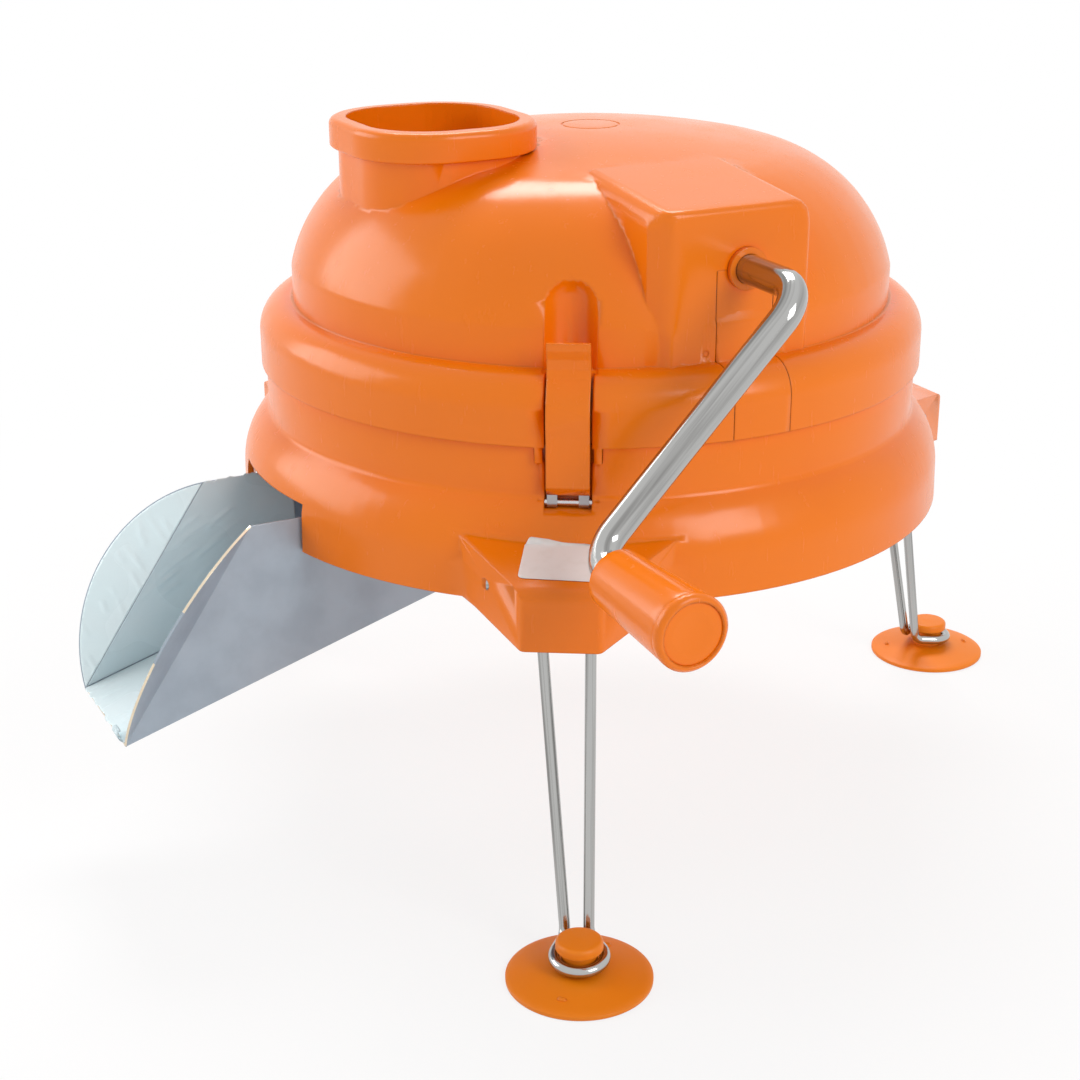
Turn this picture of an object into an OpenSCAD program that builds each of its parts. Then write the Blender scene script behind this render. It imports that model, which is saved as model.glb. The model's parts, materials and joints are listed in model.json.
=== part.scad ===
// Hand-cranked vegetable dicer.
// Food drops through the hopper into a rotor that the crank turns through a pinion
// and a crown gear. The rotor's blade slices it and its ramps press the slices
// through a crossed-blade grid, and the dice slide down a sheet-metal chute.
// Z is up, the rotor axis is the Z axis, and the suction feet stand on Z = 0.

/* [Housing seam] */
// Height of the seam between the base and the cover
seam_z = 220; // [210:1:232]
// Wall of the moulded shells
wall = 3; // [2.4:0.1:3.6]

/* [Cover] */
// Outer radius of the cover's flange
flange_r = 165; // [162:0.5:168]
// Radius that rounds the flange's upper edge, which also sets the dome in from the flange
flange_round = 15; // [12:0.5:16]
// Height of the flange above the seam
flange_h = 31; // [28:0.5:34]
// Height of the dome's top above the seam
dome_h = 112; // [109:0.5:118]
// Radius of the dome's shoulder
shoulder_round = 74; // [68:1:80]
// Radius of the shallow round mark in the top of the dome
top_mark_r = 14.5; // [10:0.5:18]
// Depth of the shallow round mark
top_mark_depth = 0.6; // [0.3:0.1:1]

/* [Hopper] */
// Direction of the hopper's centre, in degrees from +X
hopper_az = -148.5; // [-152:0.5:-145]
// Distance of the hopper's centre inside the dome's radius
hopper_in = 66; // [64:0.5:70]
// Size of the hopper's lip along the radius
hopper_deep = 90; // [84:0.5:92]
// Size of the hopper's lip across the radius
hopper_wide = 97; // [90:0.5:100]
// Corner radius of the hopper's lip
hopper_corner = 38; // [30:0.5:42]
// Height of the lip above the dome's top
hopper_rise = 9.5; // [7:0.5:14]
// Height of the lip's outer band
lip_h = 13.5; // [10:0.5:16]
// How far the lip stands out from the hopper's tube
lip_out = 4; // [3:0.5:5]
// Wall of the hopper's tube
hopper_wall = 4; // [3.5:0.5:5]

/* [Gearbox housing] */
// Direction of the crank shaft, in degrees from +X
crank_az = -59.5; // [-62:0.5:-57]
// Height of the crank shaft
shaft_z = 291; // [288:0.5:293]
// Distance of the housing's flat face inside the dome's radius
face_in = 3.5; // [2.5:0.1:5]
// Reach of the housing to the left of the shaft
bulge_left = 44; // [41:0.5:46]
// Reach of the housing to the right of the shaft
bulge_right = 33.5; // [30:0.5:36]
// Height of the housing's top above the shaft, at its flat face
bulge_top = 27; // [26:0.5:29]
// Slope of the housing's top towards the dome, in degrees
bulge_slope = 6; // [3:0.5:8]
// Width of the slope taken off the housing's left front corner
bulge_chamfer = 7.5; // [5:0.5:9]
// Depth of the slope taken off the housing's left front corner
chamfer_depth = 8.8; // [6:0.2:10]
// Radius of the housing's two upper corners
bulge_round = 9; // [7:0.5:10]
// Radius of the edge between the housing's top and its flat face
bulge_edge = 3.6; // [3.4:0.1:5]
// Half width of the slot that the shaft is put in through
slot_half = 14.5; // [12:0.5:16]

/* [Base housing] */
// Step of the base's wall inside the cover's flange
seam_step = 2.4; // [1.8:0.1:3.4]
// How far the skirt stands out from the base's wall
skirt_out = 13.7; // [11:0.1:16]
// Height of the skirt's lower edge
skirt_z = 152.5; // [150:0.5:156]
// Height where the straight skirt meets the shoulder
shoulder_z = 167.9; // [166:0.1:169]
// Radius of the shoulder between skirt and wall
base_round = 36; // [34:0.5:37]
// Radius that rounds the corner between shoulder and wall
wall_fillet = 4; // [2:0.5:5]
// Height of the deck's upper face
deck_z = 196; // [194:0.5:198]
// Thickness of the deck
deck_t = 4; // [3:0.5:5]
// Height of the spigot that the cover fits over
spigot_h = 6; // [4:0.5:8]

/* [Leg lugs] */
// How far a lug's front face stands out from the skirt
lug_reach = 33.7; // [30:0.1:36]
// Half width of a lug's front face
lug_half = 17; // [15:0.5:19]
// Height of the front face's lower edge
lug_z = 144.4; // [142:0.2:147]
// Height of the front face
lug_face_h = 27; // [24:0.5:30]
// Slope of the lug's top, in degrees
lug_slope = 12; // [9:0.5:15]
// Half width of a lug where it meets the skirt
lug_root_half = 47; // [44:0.5:50]
// Radius that rounds the front face's upper edge
lug_roll = 6; // [4:0.5:8]
// Radius that rounds the front face's upright edges
lug_corner = 3.4; // [3.2:0.1:5]

/* [Legs] */
// Diameter of the leg wire
leg_wire_d = 5; // [4:0.1:5.5]
// Distance of a leg's pivot outside the skirt's radius
pivot_out = 9.7; // [8:0.1:12]
// Height of a leg's pivot
pivot_z = 165; // [163:0.5:167]
// Distance of a foot's centre outside the leg's pivot
leg_reach = 47.3; // [42:0.1:52]
// Sideways lean of a leg at its loop
leg_lean = 7.8; // [0:0.2:9]
// Sideways distance of a foot's centre from the leg's pivot
foot_lean = 9.7; // [0:0.1:10]
// Half distance between the two wires at the pivot
wire_half = 11.5; // [10:0.5:13]
// Radius of a suction foot's rim
foot_r = 32.4; // [28:0.1:36]
// Height of a suction foot with its knob
foot_h = 20; // [19.4:0.1:22]
// Radius of a suction foot's knob
knob_r = 10.5; // [9.5:0.1:10.6]
// Radius of the wire loop round the knob's neck
loop_r = 11.1; // [10.8:0.1:11.6]
// Distance of the two wires' lower bends from the foot's centre
loop_tail = 14; // [13.8:0.1:15.5]
// Half distance between the two wires at their lower bends
tail_half = 5.2; // [4:0.1:5.6]
// Slope of the wire loop, in degrees
loop_tilt = 6; // [0:0.5:7]
// Bend radius of the leg wire
leg_bend = 6; // [5:0.5:6.5]

/* [Latches] */
// Width of a latch
latch_w = 19; // [17:0.5:21]
// Depth of a latch's pivot under the seam
latch_drop = 25.5; // [25:0.1:26]
// Distance of a latch's pivot inside the base's wall
latch_in = 1.1; // [0.8:0.1:1.4]
// Diameter of a latch pin
latch_pin_d = 3; // [2.4:0.1:3.4]
// Gap on each side of a latch
latch_gap = 0.9; // [0.6:0.1:1.2]

/* [Crank] */
// Diameter of the crank rod
rod_d = 13; // [12:0.1:13.4]
// Distance of the arm outside the cover's flange
arm_out = 28; // [26:0.5:31]
// Length of the arm between the shaft and the grip axis
arm_len = 141.6; // [134:0.2:146]
// Direction of the arm seen from the gearbox, in degrees
arm_angle = -134; // [-137:0.5:-131]
// Bend radius of the rod
bend_r = 16; // [14:0.5:18]
// Gap between the arm's axis and the grip
grip_start = 21; // [20:0.5:24]
// Length of the grip
grip_len = 62; // [58:0.5:66]
// Diameter of the grip at its inner end
grip_d1 = 26; // [24:0.5:28]
// Diameter of the grip at its outer end
grip_d2 = 31.5; // [29:0.5:34]

/* [Gears] */
// Distance of the pinion's middle inside the dome's radius, which sets the gears' module
gear_in = 21.3; // [20.8:0.1:23]
// Number of teeth on the pinion
pinion_teeth = 12; // [12:1:12]
// Number of teeth on the crown gear
crown_teeth = 78; // [78:1:78]
// Face width of the gears
gear_face = 10; // [8:0.5:10.5]
// Play between the teeth
backlash = 0.7; // [0.5:0.1:0.9]

/* [Rotor] */
// Diameter of the spindle
spindle_d = 14; // [12:0.5:15]
// Outer radius of the rotor's hub
hub_r = 17; // [15:0.5:20]
// Thickness of the rotor's drum wall
drum_wall = 3; // [2.5:0.5:4]
// Number of pressing ramps
ramps = 3; // [2:1:3]
// Angle that each ramp covers
ramp_sweep = 80; // [60:2:86]
// Height that each ramp rises through
ramp_rise = 44; // [36:1:48]
// Thickness of the ramps
ramp_t = 3.5; // [3:0.5:4.5]
// Thickness of the slicing blade
blade_t = 1.4; // [1:0.1:1.6]

/* [Dicing grid] */
// Inside width of the grid's frame
grid_in = 60; // [56:1:62]
// Width of the grid frame's rim
grid_rim = 5; // [4:0.5:6]
// Height of the grid
grid_h = 11; // [9:0.5:12]
// Spacing of the grid's blades
grid_pitch = 10; // [8:0.5:12]
// Thickness of a grid blade
grid_blade_t = 0.8; // [0.6:0.1:1]

/* [Chute] */
// Direction of the chute, in degrees from +X
chute_az = -148; // [-150:0.5:-146]
// Outside width of the chute
chute_w = 70; // [66:0.5:71]
// Thickness of the chute's sheet
sheet_t = 1.2; // [1:0.1:1.5]
// Distance of the chute's mouth outside the skirt's radius
chute_reach = 86.9; // [82:0.1:92]
// Height of the chute's floor at its mouth
mouth_z = 71.6; // [68:0.2:75]
// Slope of the chute's floor, in degrees
chute_slope = 16.3; // [14:0.1:17]
// Height of the chute's walls above the table
chute_top_z = 168.7; // [164:0.1:170]
// Distance of the end flap's upper corner behind the mouth
flap_back = 67; // [63:0.5:71]
// Rise of the end flap's round edge over its bend
flap_rise = 27; // [22:0.5:30]
// Angle that the end flaps are bent out by, in degrees
flap_bend = 48; // [40:1:55]

/* [Hidden] */
$fn = 96;
// Overlap that joins the parts of one solid
e = 0.02;
// Running gap of a shaft in its bore, all round
run_gap = 0.06;
// Gap between pieces that are put together and stay
seat_gap = 0.12;
// Gap between a moving piece and what it passes
move_gap = 0.6;
// Directions of the three legs, with a latch above each
front_az = -90;
right_az = 30;
left_az = 150;
thirds = [front_az, right_az, left_az];
// Distances from the rotor axis, all set out from the cover's flange
dome_r = flange_r - flange_round;
base_r = flange_r - seam_step;
skirt_r = base_r + skirt_out;
face_x = dome_r - face_in;
hopper_offset = dome_r - hopper_in;
pinion_x = dome_r - gear_in;
lug_x = skirt_r + lug_reach;
pivot_x = skirt_r + pivot_out;
foot_x = pivot_x + leg_reach;
mouth_x = skirt_r + chute_reach;
flap_x = mouth_x - flap_back;
arm_x = flange_r + arm_out;
latch_pivot_x = base_r - latch_in;
latch_pivot_z = seam_z - latch_drop;
gear_m = 2 * pinion_x / crown_teeth;

moulded = "darkorange";
steel = "silver";
dark_steel = "gray";
sheet = "lightsteelblue";

// ---------- shared geometry ----------

module at(az) rotate([0, 0, az]) children();

// Points of an arc about c, from angle a0 to a1
function arc(c, r, a0, a1, n) =
    [for (i = [0 : n]) let (a = a0 + (a1 - a0) * i / n) [c[0] + r * cos(a), c[1] + r * sin(a)]];

// A rectangle w by h about the origin with round corners
module round_rect(w, h, r) {
    square([w - 2 * r, h], center = true);
    square([w, h - 2 * r], center = true);
    for (sx = [-1, 1], sy = [-1, 1])
        translate([sx * (w / 2 - r), sy * (h / 2 - r)]) circle(r);
}

// A section drawn in X and Z, made w wide along Y
module across(w) rotate([90, 0, 0]) linear_extrude(w, center = true) children();

// A section drawn in Y and Z, made from x0 to x1 along X
module along(x0, x1) translate([x0, 0, 0]) rotate([90, 0, 90]) linear_extrude(x1 - x0) children();

// A rod along X from x0 to x1
module rod_x(r, x0, x1) translate([x0, 0, 0]) rotate([0, 90, 0]) cylinder(r = r, h = x1 - x0);

// A rod along Y, centred
module rod_y(r, w) rotate([90, 0, 0]) cylinder(r = r, h = w, center = true);

// A round bar from point a to point b
module bar(a, b, r) {
    d = b - a;
    translate(a) rotate([0, acos(d[2] / norm(d)), atan2(d[1], d[0])]) cylinder(r = r, h = norm(d));
}

function unit(v) = v / norm(v);

// The rounded bend of a wire at point p, from direction u to direction v
module wire_bend(p, u, v, bend, r) {
    turn = acos(u * v);
    w = unit(v - (u * v) * u);
    n = cross(u, w);
    c = p - u * bend * tan(turn / 2) + w * bend;
    multmatrix([[-w[0], u[0], n[0], c[0]], [-w[1], u[1], n[1], c[1]], [-w[2], u[2], n[2], c[2]]])
        rotate_extrude(angle = turn) translate([bend, 0]) circle(r);
}

// A round wire through the given points, run on by lap into each bend
module wire_path(pts, bend, r, lap) {
    last = len(pts) - 1;
    dir = [for (i = [0 : last - 1]) unit(pts[i + 1] - pts[i])];
    cut = [for (i = [0 : last]) i == 0 ? 0 : (i == last ? 0 : bend * tan(acos(dir[i - 1] * dir[i]) / 2)) - lap];
    for (i = [0 : last - 1]) bar(pts[i] + dir[i] * cut[i], pts[i + 1] - dir[i] * cut[i + 1], r);
    for (i = [1 : last - 1]) wire_bend(pts[i], dir[i - 1], dir[i], bend, r + e);
}

// A pan-head screw that points down, with the underside of its head at the origin
screw_head_h = 2;
module screw(head_r, shank_r, length) {
    difference() {
        cylinder(r = head_r, h = screw_head_h);
        for (a = [0, 90]) rotate([0, 0, a])
            translate([-head_r * 0.6, -head_r * 0.12, screw_head_h / 2])
                cube([head_r * 1.2, head_r * 0.24, screw_head_h]);
    }
    translate([0, 0, -length]) cylinder(r = shank_r, h = length + e);
}

// ---------- cover ----------

flange_top_z = seam_z + flange_h;
dome_top_z = seam_z + dome_h;
dome_base_z = flange_top_z - 1;
shoulder_cx = dome_r - shoulder_round;
crown_drop = dome_top_z - dome_base_z;
// The crown's arc is centred on the axis and tangent to the shoulder's arc
crown_r = (pow(shoulder_cx, 2) + pow(crown_drop, 2) - pow(shoulder_round, 2)) / (2 * (crown_drop - shoulder_round));
crown_join = atan2(crown_r - crown_drop, shoulder_cx);
lip_top_z = dome_top_z + hopper_rise;
// Lower end of the hopper's tube inside the cover
throat_z = shaft_z - 12;
bulge_top_z = shaft_z + bulge_top;
rod_r = rod_d / 2;
bush_r = rod_r + 1.8;
bush_flange_r = rod_r + 2.9;
bush_flange_t = 2.5;
boss_in_r = spindle_d / 2 + 3.2;
boss_r = boss_in_r + wall + 0.8;
boss_z = throat_z + 21;

module dome_section(inset, low_z) {
    crown_z = dome_top_z - crown_r;
    reach = crown_r + 5;
    // The flange and its rounded edge
    translate([0, low_z]) square([flange_r - inset, flange_top_z - flange_round - low_z]);
    translate([0, low_z]) square([flange_r - flange_round, flange_top_z - inset - low_z]);
    translate([flange_r - flange_round, flange_top_z - flange_round]) circle(flange_round - inset);
    // The shoulder
    intersection() {
        translate([shoulder_cx, dome_base_z]) circle(shoulder_round - inset);
        translate([0, dome_base_z - inset - 0.5]) square(2 * shoulder_round);
    }
    // The crown
    intersection() {
        translate([0, crown_z]) circle(crown_r - inset);
        polygon([[0, crown_z], [reach * cos(crown_join), crown_z + reach * sin(crown_join)], [0, crown_z + reach]]);
        translate([0, low_z]) square(2 * shoulder_round);
    }
}

// The gearbox housing, a block that grows out of the dome round the pinion
module bulge(inset) {
    y0 = -bulge_left + inset;
    y1 = bulge_right - inset;
    x1 = face_x - inset;
    z1 = bulge_top_z - inset;
    z0 = seam_z + flange_round;
    r = bulge_round - inset;
    edge = bulge_edge - inset;
    back = x1 - shoulder_cx;
    at(crank_az) intersection() {
        // Its outline seen from the crank, run back along the slope of the top
        translate([x1, 0, z1 + 0.05]) rotate([0, bulge_slope, 0]) along(-back - 30, 20) {
            translate([y0, z0 - z1 - 20]) square([y1 - y0, z1 - z0 + 20 - r]);
            translate([y0 + r, z0 - z1 - 20]) square([y1 - y0 - 2 * r, z1 - z0 + 20]);
            for (y = [y0 + r, y1 - r]) translate([y, -r]) circle(r);
        }
        // Its outline seen from above
        translate([0, 0, z0]) linear_extrude(z1 - z0 + 20) polygon(concat(
            [[shoulder_cx, y0 - 1], [x1 - chamfer_depth - 1, y0 - bulge_chamfer / chamfer_depth],
             [x1, y0 + bulge_chamfer]],
            arc([x1 - edge, y1 + 0.05 - edge], edge, 0, 86, 6), [[shoulder_cx, y1 + 0.6]]));
        // Its outline seen from the side
        across(3 * bulge_left) polygon(concat([[shoulder_cx, z0], [x1 + 0.02, z0]],
            arc([x1 + 0.02 - edge, z1 + edge * (tan(bulge_slope) - 1 / cos(bulge_slope))], edge, 0, 90 - bulge_slope, 7),
            [[shoulder_cx, z1 + back * tan(bulge_slope)]]));
    }
}

module hopper_plan(inset)
    round_rect(hopper_deep - 2 * inset, hopper_wide - 2 * inset, hopper_corner - inset);

module hopper_tube(inset, z0, z1)
    at(hopper_az) translate([hopper_offset, 0, z0]) linear_extrude(z1 - z0) hopper_plan(inset);

// The lip's band has a rounded upper edge all round
lip_edge = 3.2;
module hopper_lip() {
    r = hopper_corner;
    at(hopper_az) translate([hopper_offset, 0, lip_top_z - lip_h]) hull()
        for (sx = [-1, 1], sy = [-1, 1])
            translate([sx * (hopper_deep / 2 - r), sy * (hopper_wide / 2 - r), 0])
                rotate_extrude($fn = 48)
                    polygon(concat([[0, 0], [r - lip_edge / 4, 0], [r, lip_edge / 4]],
                        arc([r - lip_edge, lip_h - lip_edge], lip_edge, 0, 90, 5), [[0, lip_h]]));
}

// Finger groove that runs up the dome from a latch's catch, grown by the wall on its inside
groove_r = latch_w / 2 + 2.7;
groove_low_z = dome_base_z + 0.1;
groove_rise = 30;
groove_lean = 6;
groove_out = 1.6;
module finger_groove(grow) intersection() {
    translate([dome_r + groove_out, 0, dome_base_z]) rotate([0, -groove_lean, 0]) {
        translate([0, 0, -20]) cylinder(r = groove_r + grow, h = groove_rise + 20);
        translate([0, 0, groove_rise]) sphere(r = groove_r + grow);
    }
    translate([dome_r - 60, -40, groove_low_z - grow]) cube([80, 80, 60]);
}

// Where a latch lies: the cover's catch is the slope between its two upper points
slot_w = latch_w + 2 * latch_gap;
catch_x = flange_r - 8;
catch_top_x = dome_r + 0.2;
catch_z = dome_base_z - 5.6;
module latch_slot() across(slot_w)
    polygon([[catch_x, seam_z - 1], [catch_x, catch_z], [catch_top_x, dome_base_z + 0.1],
             [catch_top_x, flange_top_z + 8], [flange_r + 10, flange_top_z + 8], [flange_r + 10, seam_z - 1]]);

// Two keys beside each latch that drop into the base's wall
key_in = slot_w / 2 + 0.8;
key_w = 3.4;
key_h = 7;
key_x0 = base_r - 2;
key_x1 = flange_r - 0.7;
module cover_keys() for (s = [-1, 1])
    translate([key_x0, s > 0 ? key_in : -key_in - key_w, seam_z - key_h]) cube([key_x1 - key_x0, key_w, key_h + 6]);

// The saddle that carries the shaft's inner end
saddle_x0 = pinion_x - gear_face / 2 - 13.7;
saddle_x1 = saddle_x0 + 10;
saddle_half = 16;
bearing_screw_y = 12;
bearing_screw_r = 1.5;

module cover_solid() {
    rotate_extrude() dome_section(0, seam_z);
    bulge(0);
    hopper_tube(lip_out, throat_z, lip_top_z - lip_h / 2);
    hopper_lip();
}

module cover_cavity() {
    difference() {
        union() {
            rotate_extrude() dome_section(wall, seam_z - 1);
            bulge(wall);
        }
        for (az = thirds) at(az) {
            finger_groove(wall);
            across(slot_w + 2 * wall) polygon([[catch_x - wall, seam_z - 2], [catch_x - wall, catch_z - 1.6],
                [catch_top_x - wall, dome_base_z - wall], [catch_top_x - wall, flange_top_z + 4],
                [flange_r + 10, flange_top_z + 4], [flange_r + 10, seam_z - 2]]);
        }
        hopper_tube(lip_out, throat_z, dome_top_z + 10);
        translate([0, 0, boss_z]) cylinder(r = boss_r, h = 60);
        at(crank_az) along(saddle_x0, saddle_x1) translate([-saddle_half, shaft_z]) square([2 * saddle_half, 60]);
    }
}

module cover_moulding() {
    difference() {
        cover_solid();
        cover_cavity();
        hopper_tube(lip_out + hopper_wall, throat_z - 1, lip_top_z + 1);
        for (az = thirds) at(az) {
            finger_groove(0);
            latch_slot();
        }
        translate([0, 0, boss_z - 1]) cylinder(r = boss_in_r + seat_gap, h = 14);
        translate([0, 0, dome_top_z - top_mark_depth]) difference() {
            cylinder(r = top_mark_r, h = 2);
            translate([0, 0, -1]) cylinder(r = top_mark_r - 1.2, h = 4);
        }
        at(crank_az) translate([0, 0, shaft_z]) {
            rod_x(bush_r + seat_gap, face_x - 12, face_x + 5);
            rod_x(rod_r + run_gap, saddle_x0 - 1, saddle_x1 + 1);
            for (s = [-1, 1]) translate([(saddle_x0 + saddle_x1) / 2, s * bearing_screw_y, -1])
                cylinder(r = bearing_screw_r + seat_gap, h = 10);
        }
    }
    for (az = thirds) at(az) cover_keys();
}

module slot_block(half) at(crank_az) translate([face_x - 14, -half, seam_z - 1])
    cube([flange_r - face_x + 20, 2 * half, shaft_z - seam_z + 1]);

// Gap round the insert, seen as a fine line
insert_gap = 0.3;
// The insert's inner bar laps behind the wall on both sides of the slot
lap_t = 3;
lap_half = slot_half + 8;
lap_z = dome_base_z + 0.5;
lap_h = 9;
lap_x = sqrt(pow(dome_r - wall - 0.6, 2) - pow(lap_half, 2)) - seat_gap;
lap_screw_y = slot_half + 4.5;
lap_screw_r = 1.2;

module lap_screw_places() at(crank_az) for (s = [-1, 1])
    translate([lap_x - lap_t, s * lap_screw_y, lap_z + lap_h / 2]) rotate([0, -90, 0]) children();

module cover_shell() color(moulded) difference() {
    cover_moulding();
    slot_block(slot_half);
    lap_screw_places() translate([0, 0, -lap_t - wall]) cylinder(r = lap_screw_r + seat_gap, h = wall);
}

module slot_insert() color(moulded) difference() {
    union() {
        intersection() {
            cover_moulding();
            slot_block(slot_half - insert_gap);
        }
        at(crank_az) translate([lap_x - lap_t, -lap_half, lap_z]) cube([lap_t, 2 * lap_half, lap_h]);
        at(crank_az) translate([lap_x - e, -slot_half + insert_gap, lap_z])
            cube([wall, 2 * (slot_half - insert_gap), lap_h]);
    }
    lap_screw_places() translate([0, 0, -lap_t - 1]) cylinder(r = lap_screw_r + seat_gap, h = lap_t + 2);
}

module insert_screws() color(steel) lap_screw_places() screw(2.4, lap_screw_r, lap_t + wall - 1);

module crank_bush() color(moulded) at(crank_az) translate([0, 0, shaft_z]) difference() {
    union() {
        rod_x(bush_r, face_x - wall - 3, face_x + e);
        rod_x(bush_flange_r, face_x, face_x + bush_flange_t);
    }
    rod_x(rod_r + run_gap, face_x - 10, face_x + 10);
}

cap_h = 10;
module bearing_cap() color(steel) at(crank_az) translate([0, 0, shaft_z]) difference() {
    along(saddle_x0, saddle_x1) translate([-saddle_half, -cap_h]) square([2 * saddle_half, cap_h - seat_gap]);
    rod_x(rod_r + run_gap, saddle_x0 - 1, saddle_x1 + 1);
    for (s = [-1, 1]) translate([(saddle_x0 + saddle_x1) / 2, s * bearing_screw_y, -cap_h - 1])
        cylinder(r = bearing_screw_r + seat_gap, h = cap_h + 2);
}

module bearing_screws() color(steel) at(crank_az) for (s = [-1, 1])
    translate([(saddle_x0 + saddle_x1) / 2, s * bearing_screw_y, shaft_z - cap_h])
        rotate([180, 0, 0]) screw(2.9, bearing_screw_r, cap_h + 7);

module top_bush() color("ivory") translate([0, 0, boss_z]) difference() {
    cylinder(r = boss_in_r, h = 12);
    translate([0, 0, -1]) cylinder(d = spindle_d + 2 * run_gap, h = 14);
}

// ---------- base ----------

spigot_r = base_r - 1.9;
base_in_r = spigot_r - 2.5;
base_cx = skirt_r - base_round;
deck_low_z = deck_z - deck_t;
foot_flare = 0.4;
chute_port_half = chute_w / 2 + 2;
chute_port_h = 23.3;
chute_port_z = skirt_z + chute_port_h;
grid_wall = 2;
window_half = grid_in / 2 + grid_wall + seat_gap;
rim_half = grid_in / 2 + grid_wall + grid_rim;
rim_t = 2.5;
// The small round corner between shoulder and wall
fillet_x = base_r + wall_fillet;
fillet_turn = acos((fillet_x - base_cx) / (base_round + wall_fillet));
fillet_z = shoulder_z + (base_round + wall_fillet) * sin(fillet_turn);

// The base's outline, moved in by inset
module base_outline(inset) {
    reach = base_round - 0.05;
    polygon(concat([[0, skirt_z], [0, seam_z], [base_r - inset, seam_z]],
        arc([fillet_x, fillet_z], wall_fillet + inset, 180, 180 + fillet_turn, 6),
        [[base_cx + (reach - inset) * cos(fillet_turn), shoulder_z + (reach - inset) * sin(fillet_turn)],
         [base_cx, shoulder_z], [skirt_r - inset, shoulder_z], [skirt_r + foot_flare - inset, skirt_z]]));
    intersection() {
        translate([base_cx, shoulder_z]) circle(base_round - inset);
        translate([base_cx - 5, shoulder_z - 0.5]) square(base_round + 10);
    }
}

module base_section() {
    difference() {
        base_outline(0);
        translate([-1, deck_z]) square([base_in_r + 1, 60]);
        intersection() {
            union() {
                translate([-1, skirt_z - 1]) square([base_cx + 1, 60]);
                translate([base_cx, shoulder_z]) circle(base_round - wall);
                polygon([[base_cx - 1, shoulder_z], [skirt_r - wall, shoulder_z],
                         [skirt_r + foot_flare - wall, skirt_z - 1], [base_cx - 1, skirt_z - 1]]);
            }
            translate([-1, skirt_z - 1]) square([skirt_r + 9, deck_low_z - skirt_z + 1]);
        }
    }
    translate([base_in_r, seam_z - 1]) square([spigot_r - base_in_r, spigot_h + 1]);
}

// Half width of a lug at distance x, moved in by inset
lug_taper = (lug_root_half - lug_half) / (lug_x - skirt_r + 8);
function lug_y(x, inset) = lug_half + (lug_x - x) * lug_taper - inset * sqrt(1 + pow(lug_taper, 2));
lug_top_z = lug_z + lug_face_h;
lug_in_x = skirt_r - 14;

module lug(inset) {
    x1 = lug_x - inset;
    z1 = lug_top_z - inset;
    rise = (x1 - lug_in_x) * tan(lug_slope);
    low = inset > 0 ? lug_z - 30 : lug_z;
    roll = lug_roll - inset;
    corner = lug_corner - inset;
    flank = sqrt(1 + pow(lug_taper, 2));
    side = arc([x1 - corner, lug_y(x1 - corner, inset) - corner * flank], corner, 0, 90 - atan(lug_taper), 4);
    intersection() {
        across(4 * lug_root_half) polygon(concat([[lug_in_x, low + (inset > 0 ? 0 : skirt_z - lug_z)],
            [skirt_r + 2, low + (inset > 0 ? 0 : skirt_z - lug_z - 1.5)], [x1, low]],
            arc([x1 - roll, z1 + roll * (tan(lug_slope) - 1 / cos(lug_slope))], roll, 0, 90 - lug_slope, 6),
            [[lug_in_x, min(z1 + rise, deck_low_z - 1)]]));
        translate([0, 0, lug_z - 40]) linear_extrude(100) polygon(concat(
            side, [[lug_in_x, lug_y(lug_in_x, inset)], [lug_in_x, -lug_y(lug_in_x, inset)]],
            [for (i = [len(side) - 1 : -1 : 0]) [side[i][0], -side[i][1]]]));
    }
}

pocket_x = catch_x + 0.5;
pocket_z = latch_pivot_z - 3;
pocket_half = slot_w / 2 + 8;
notch_half = key_in + key_w + 0.3;

module base_blank() {
    rotate_extrude() base_section();
    for (az = thirds) at(az) {
        lug(0);
        intersection() {
            translate([pocket_x - wall, -pocket_half, pocket_z - wall])
                cube([base_r - pocket_x + 20, 2 * pocket_half, seam_z - pocket_z + wall]);
            rotate_extrude() base_outline(0.8);
        }
    }
    translate([0, 0, deck_low_z - 4]) cylinder(d = spindle_d + 16, h = 5);
}

module chute_screw_places() at(chute_az) for (x = chute_screw_x, s = [-1, 1])
    translate([x, s * chute_screw_y, deck_low_z]) children();

module base_housing() color(moulded) difference() {
    base_blank();
    for (az = thirds) at(az) {
        lug(wall);
        translate([pivot_x, 0, pivot_z]) rod_y(leg_wire_d / 2 + run_gap, 4 * lug_root_half);
        translate([pocket_x, -slot_w / 2, pocket_z]) cube([30, slot_w, 60]);
        translate([pocket_x, -notch_half, seam_z - key_h - 0.3]) cube([30, 2 * notch_half, 60]);
        translate([base_in_r - 8, -pocket_half - 0.5, seam_z - 0.5]) cube([spigot_r - base_in_r + 8.6, 2 * pocket_half + 1, 20]);
        translate([latch_pivot_x, 0, latch_pivot_z]) rod_y(latch_pin_d / 2 + seat_gap / 2, slot_w + 6);
    }
    translate([0, 0, deck_low_z - 10]) cylinder(d = spindle_d + 2 * seat_gap, h = 30);
    at(chute_az) {
        translate([skirt_r - 18, -chute_port_half, skirt_z - 10]) cube([40, 2 * chute_port_half, chute_port_z - skirt_z + 10]);
        translate([hopper_offset, 0, deck_low_z - 5]) {
            linear_extrude(20) square(2 * window_half, center = true);
            translate([0, 0, 5 + deck_t - rim_t]) linear_extrude(20) square(2 * (rim_half + seat_gap), center = true);
            for (sx = [-1, 1], sy = [-1, 1]) translate([sx * grid_screw_x, sy * grid_screw_y, 0])
                cylinder(r = grid_screw_r + seat_gap, h = 20);
        }
    }
    chute_screw_places() translate([0, 0, -1]) cylinder(r = chute_screw_r + seat_gap, h = deck_t);
}

// ---------- spindle ----------

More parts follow.
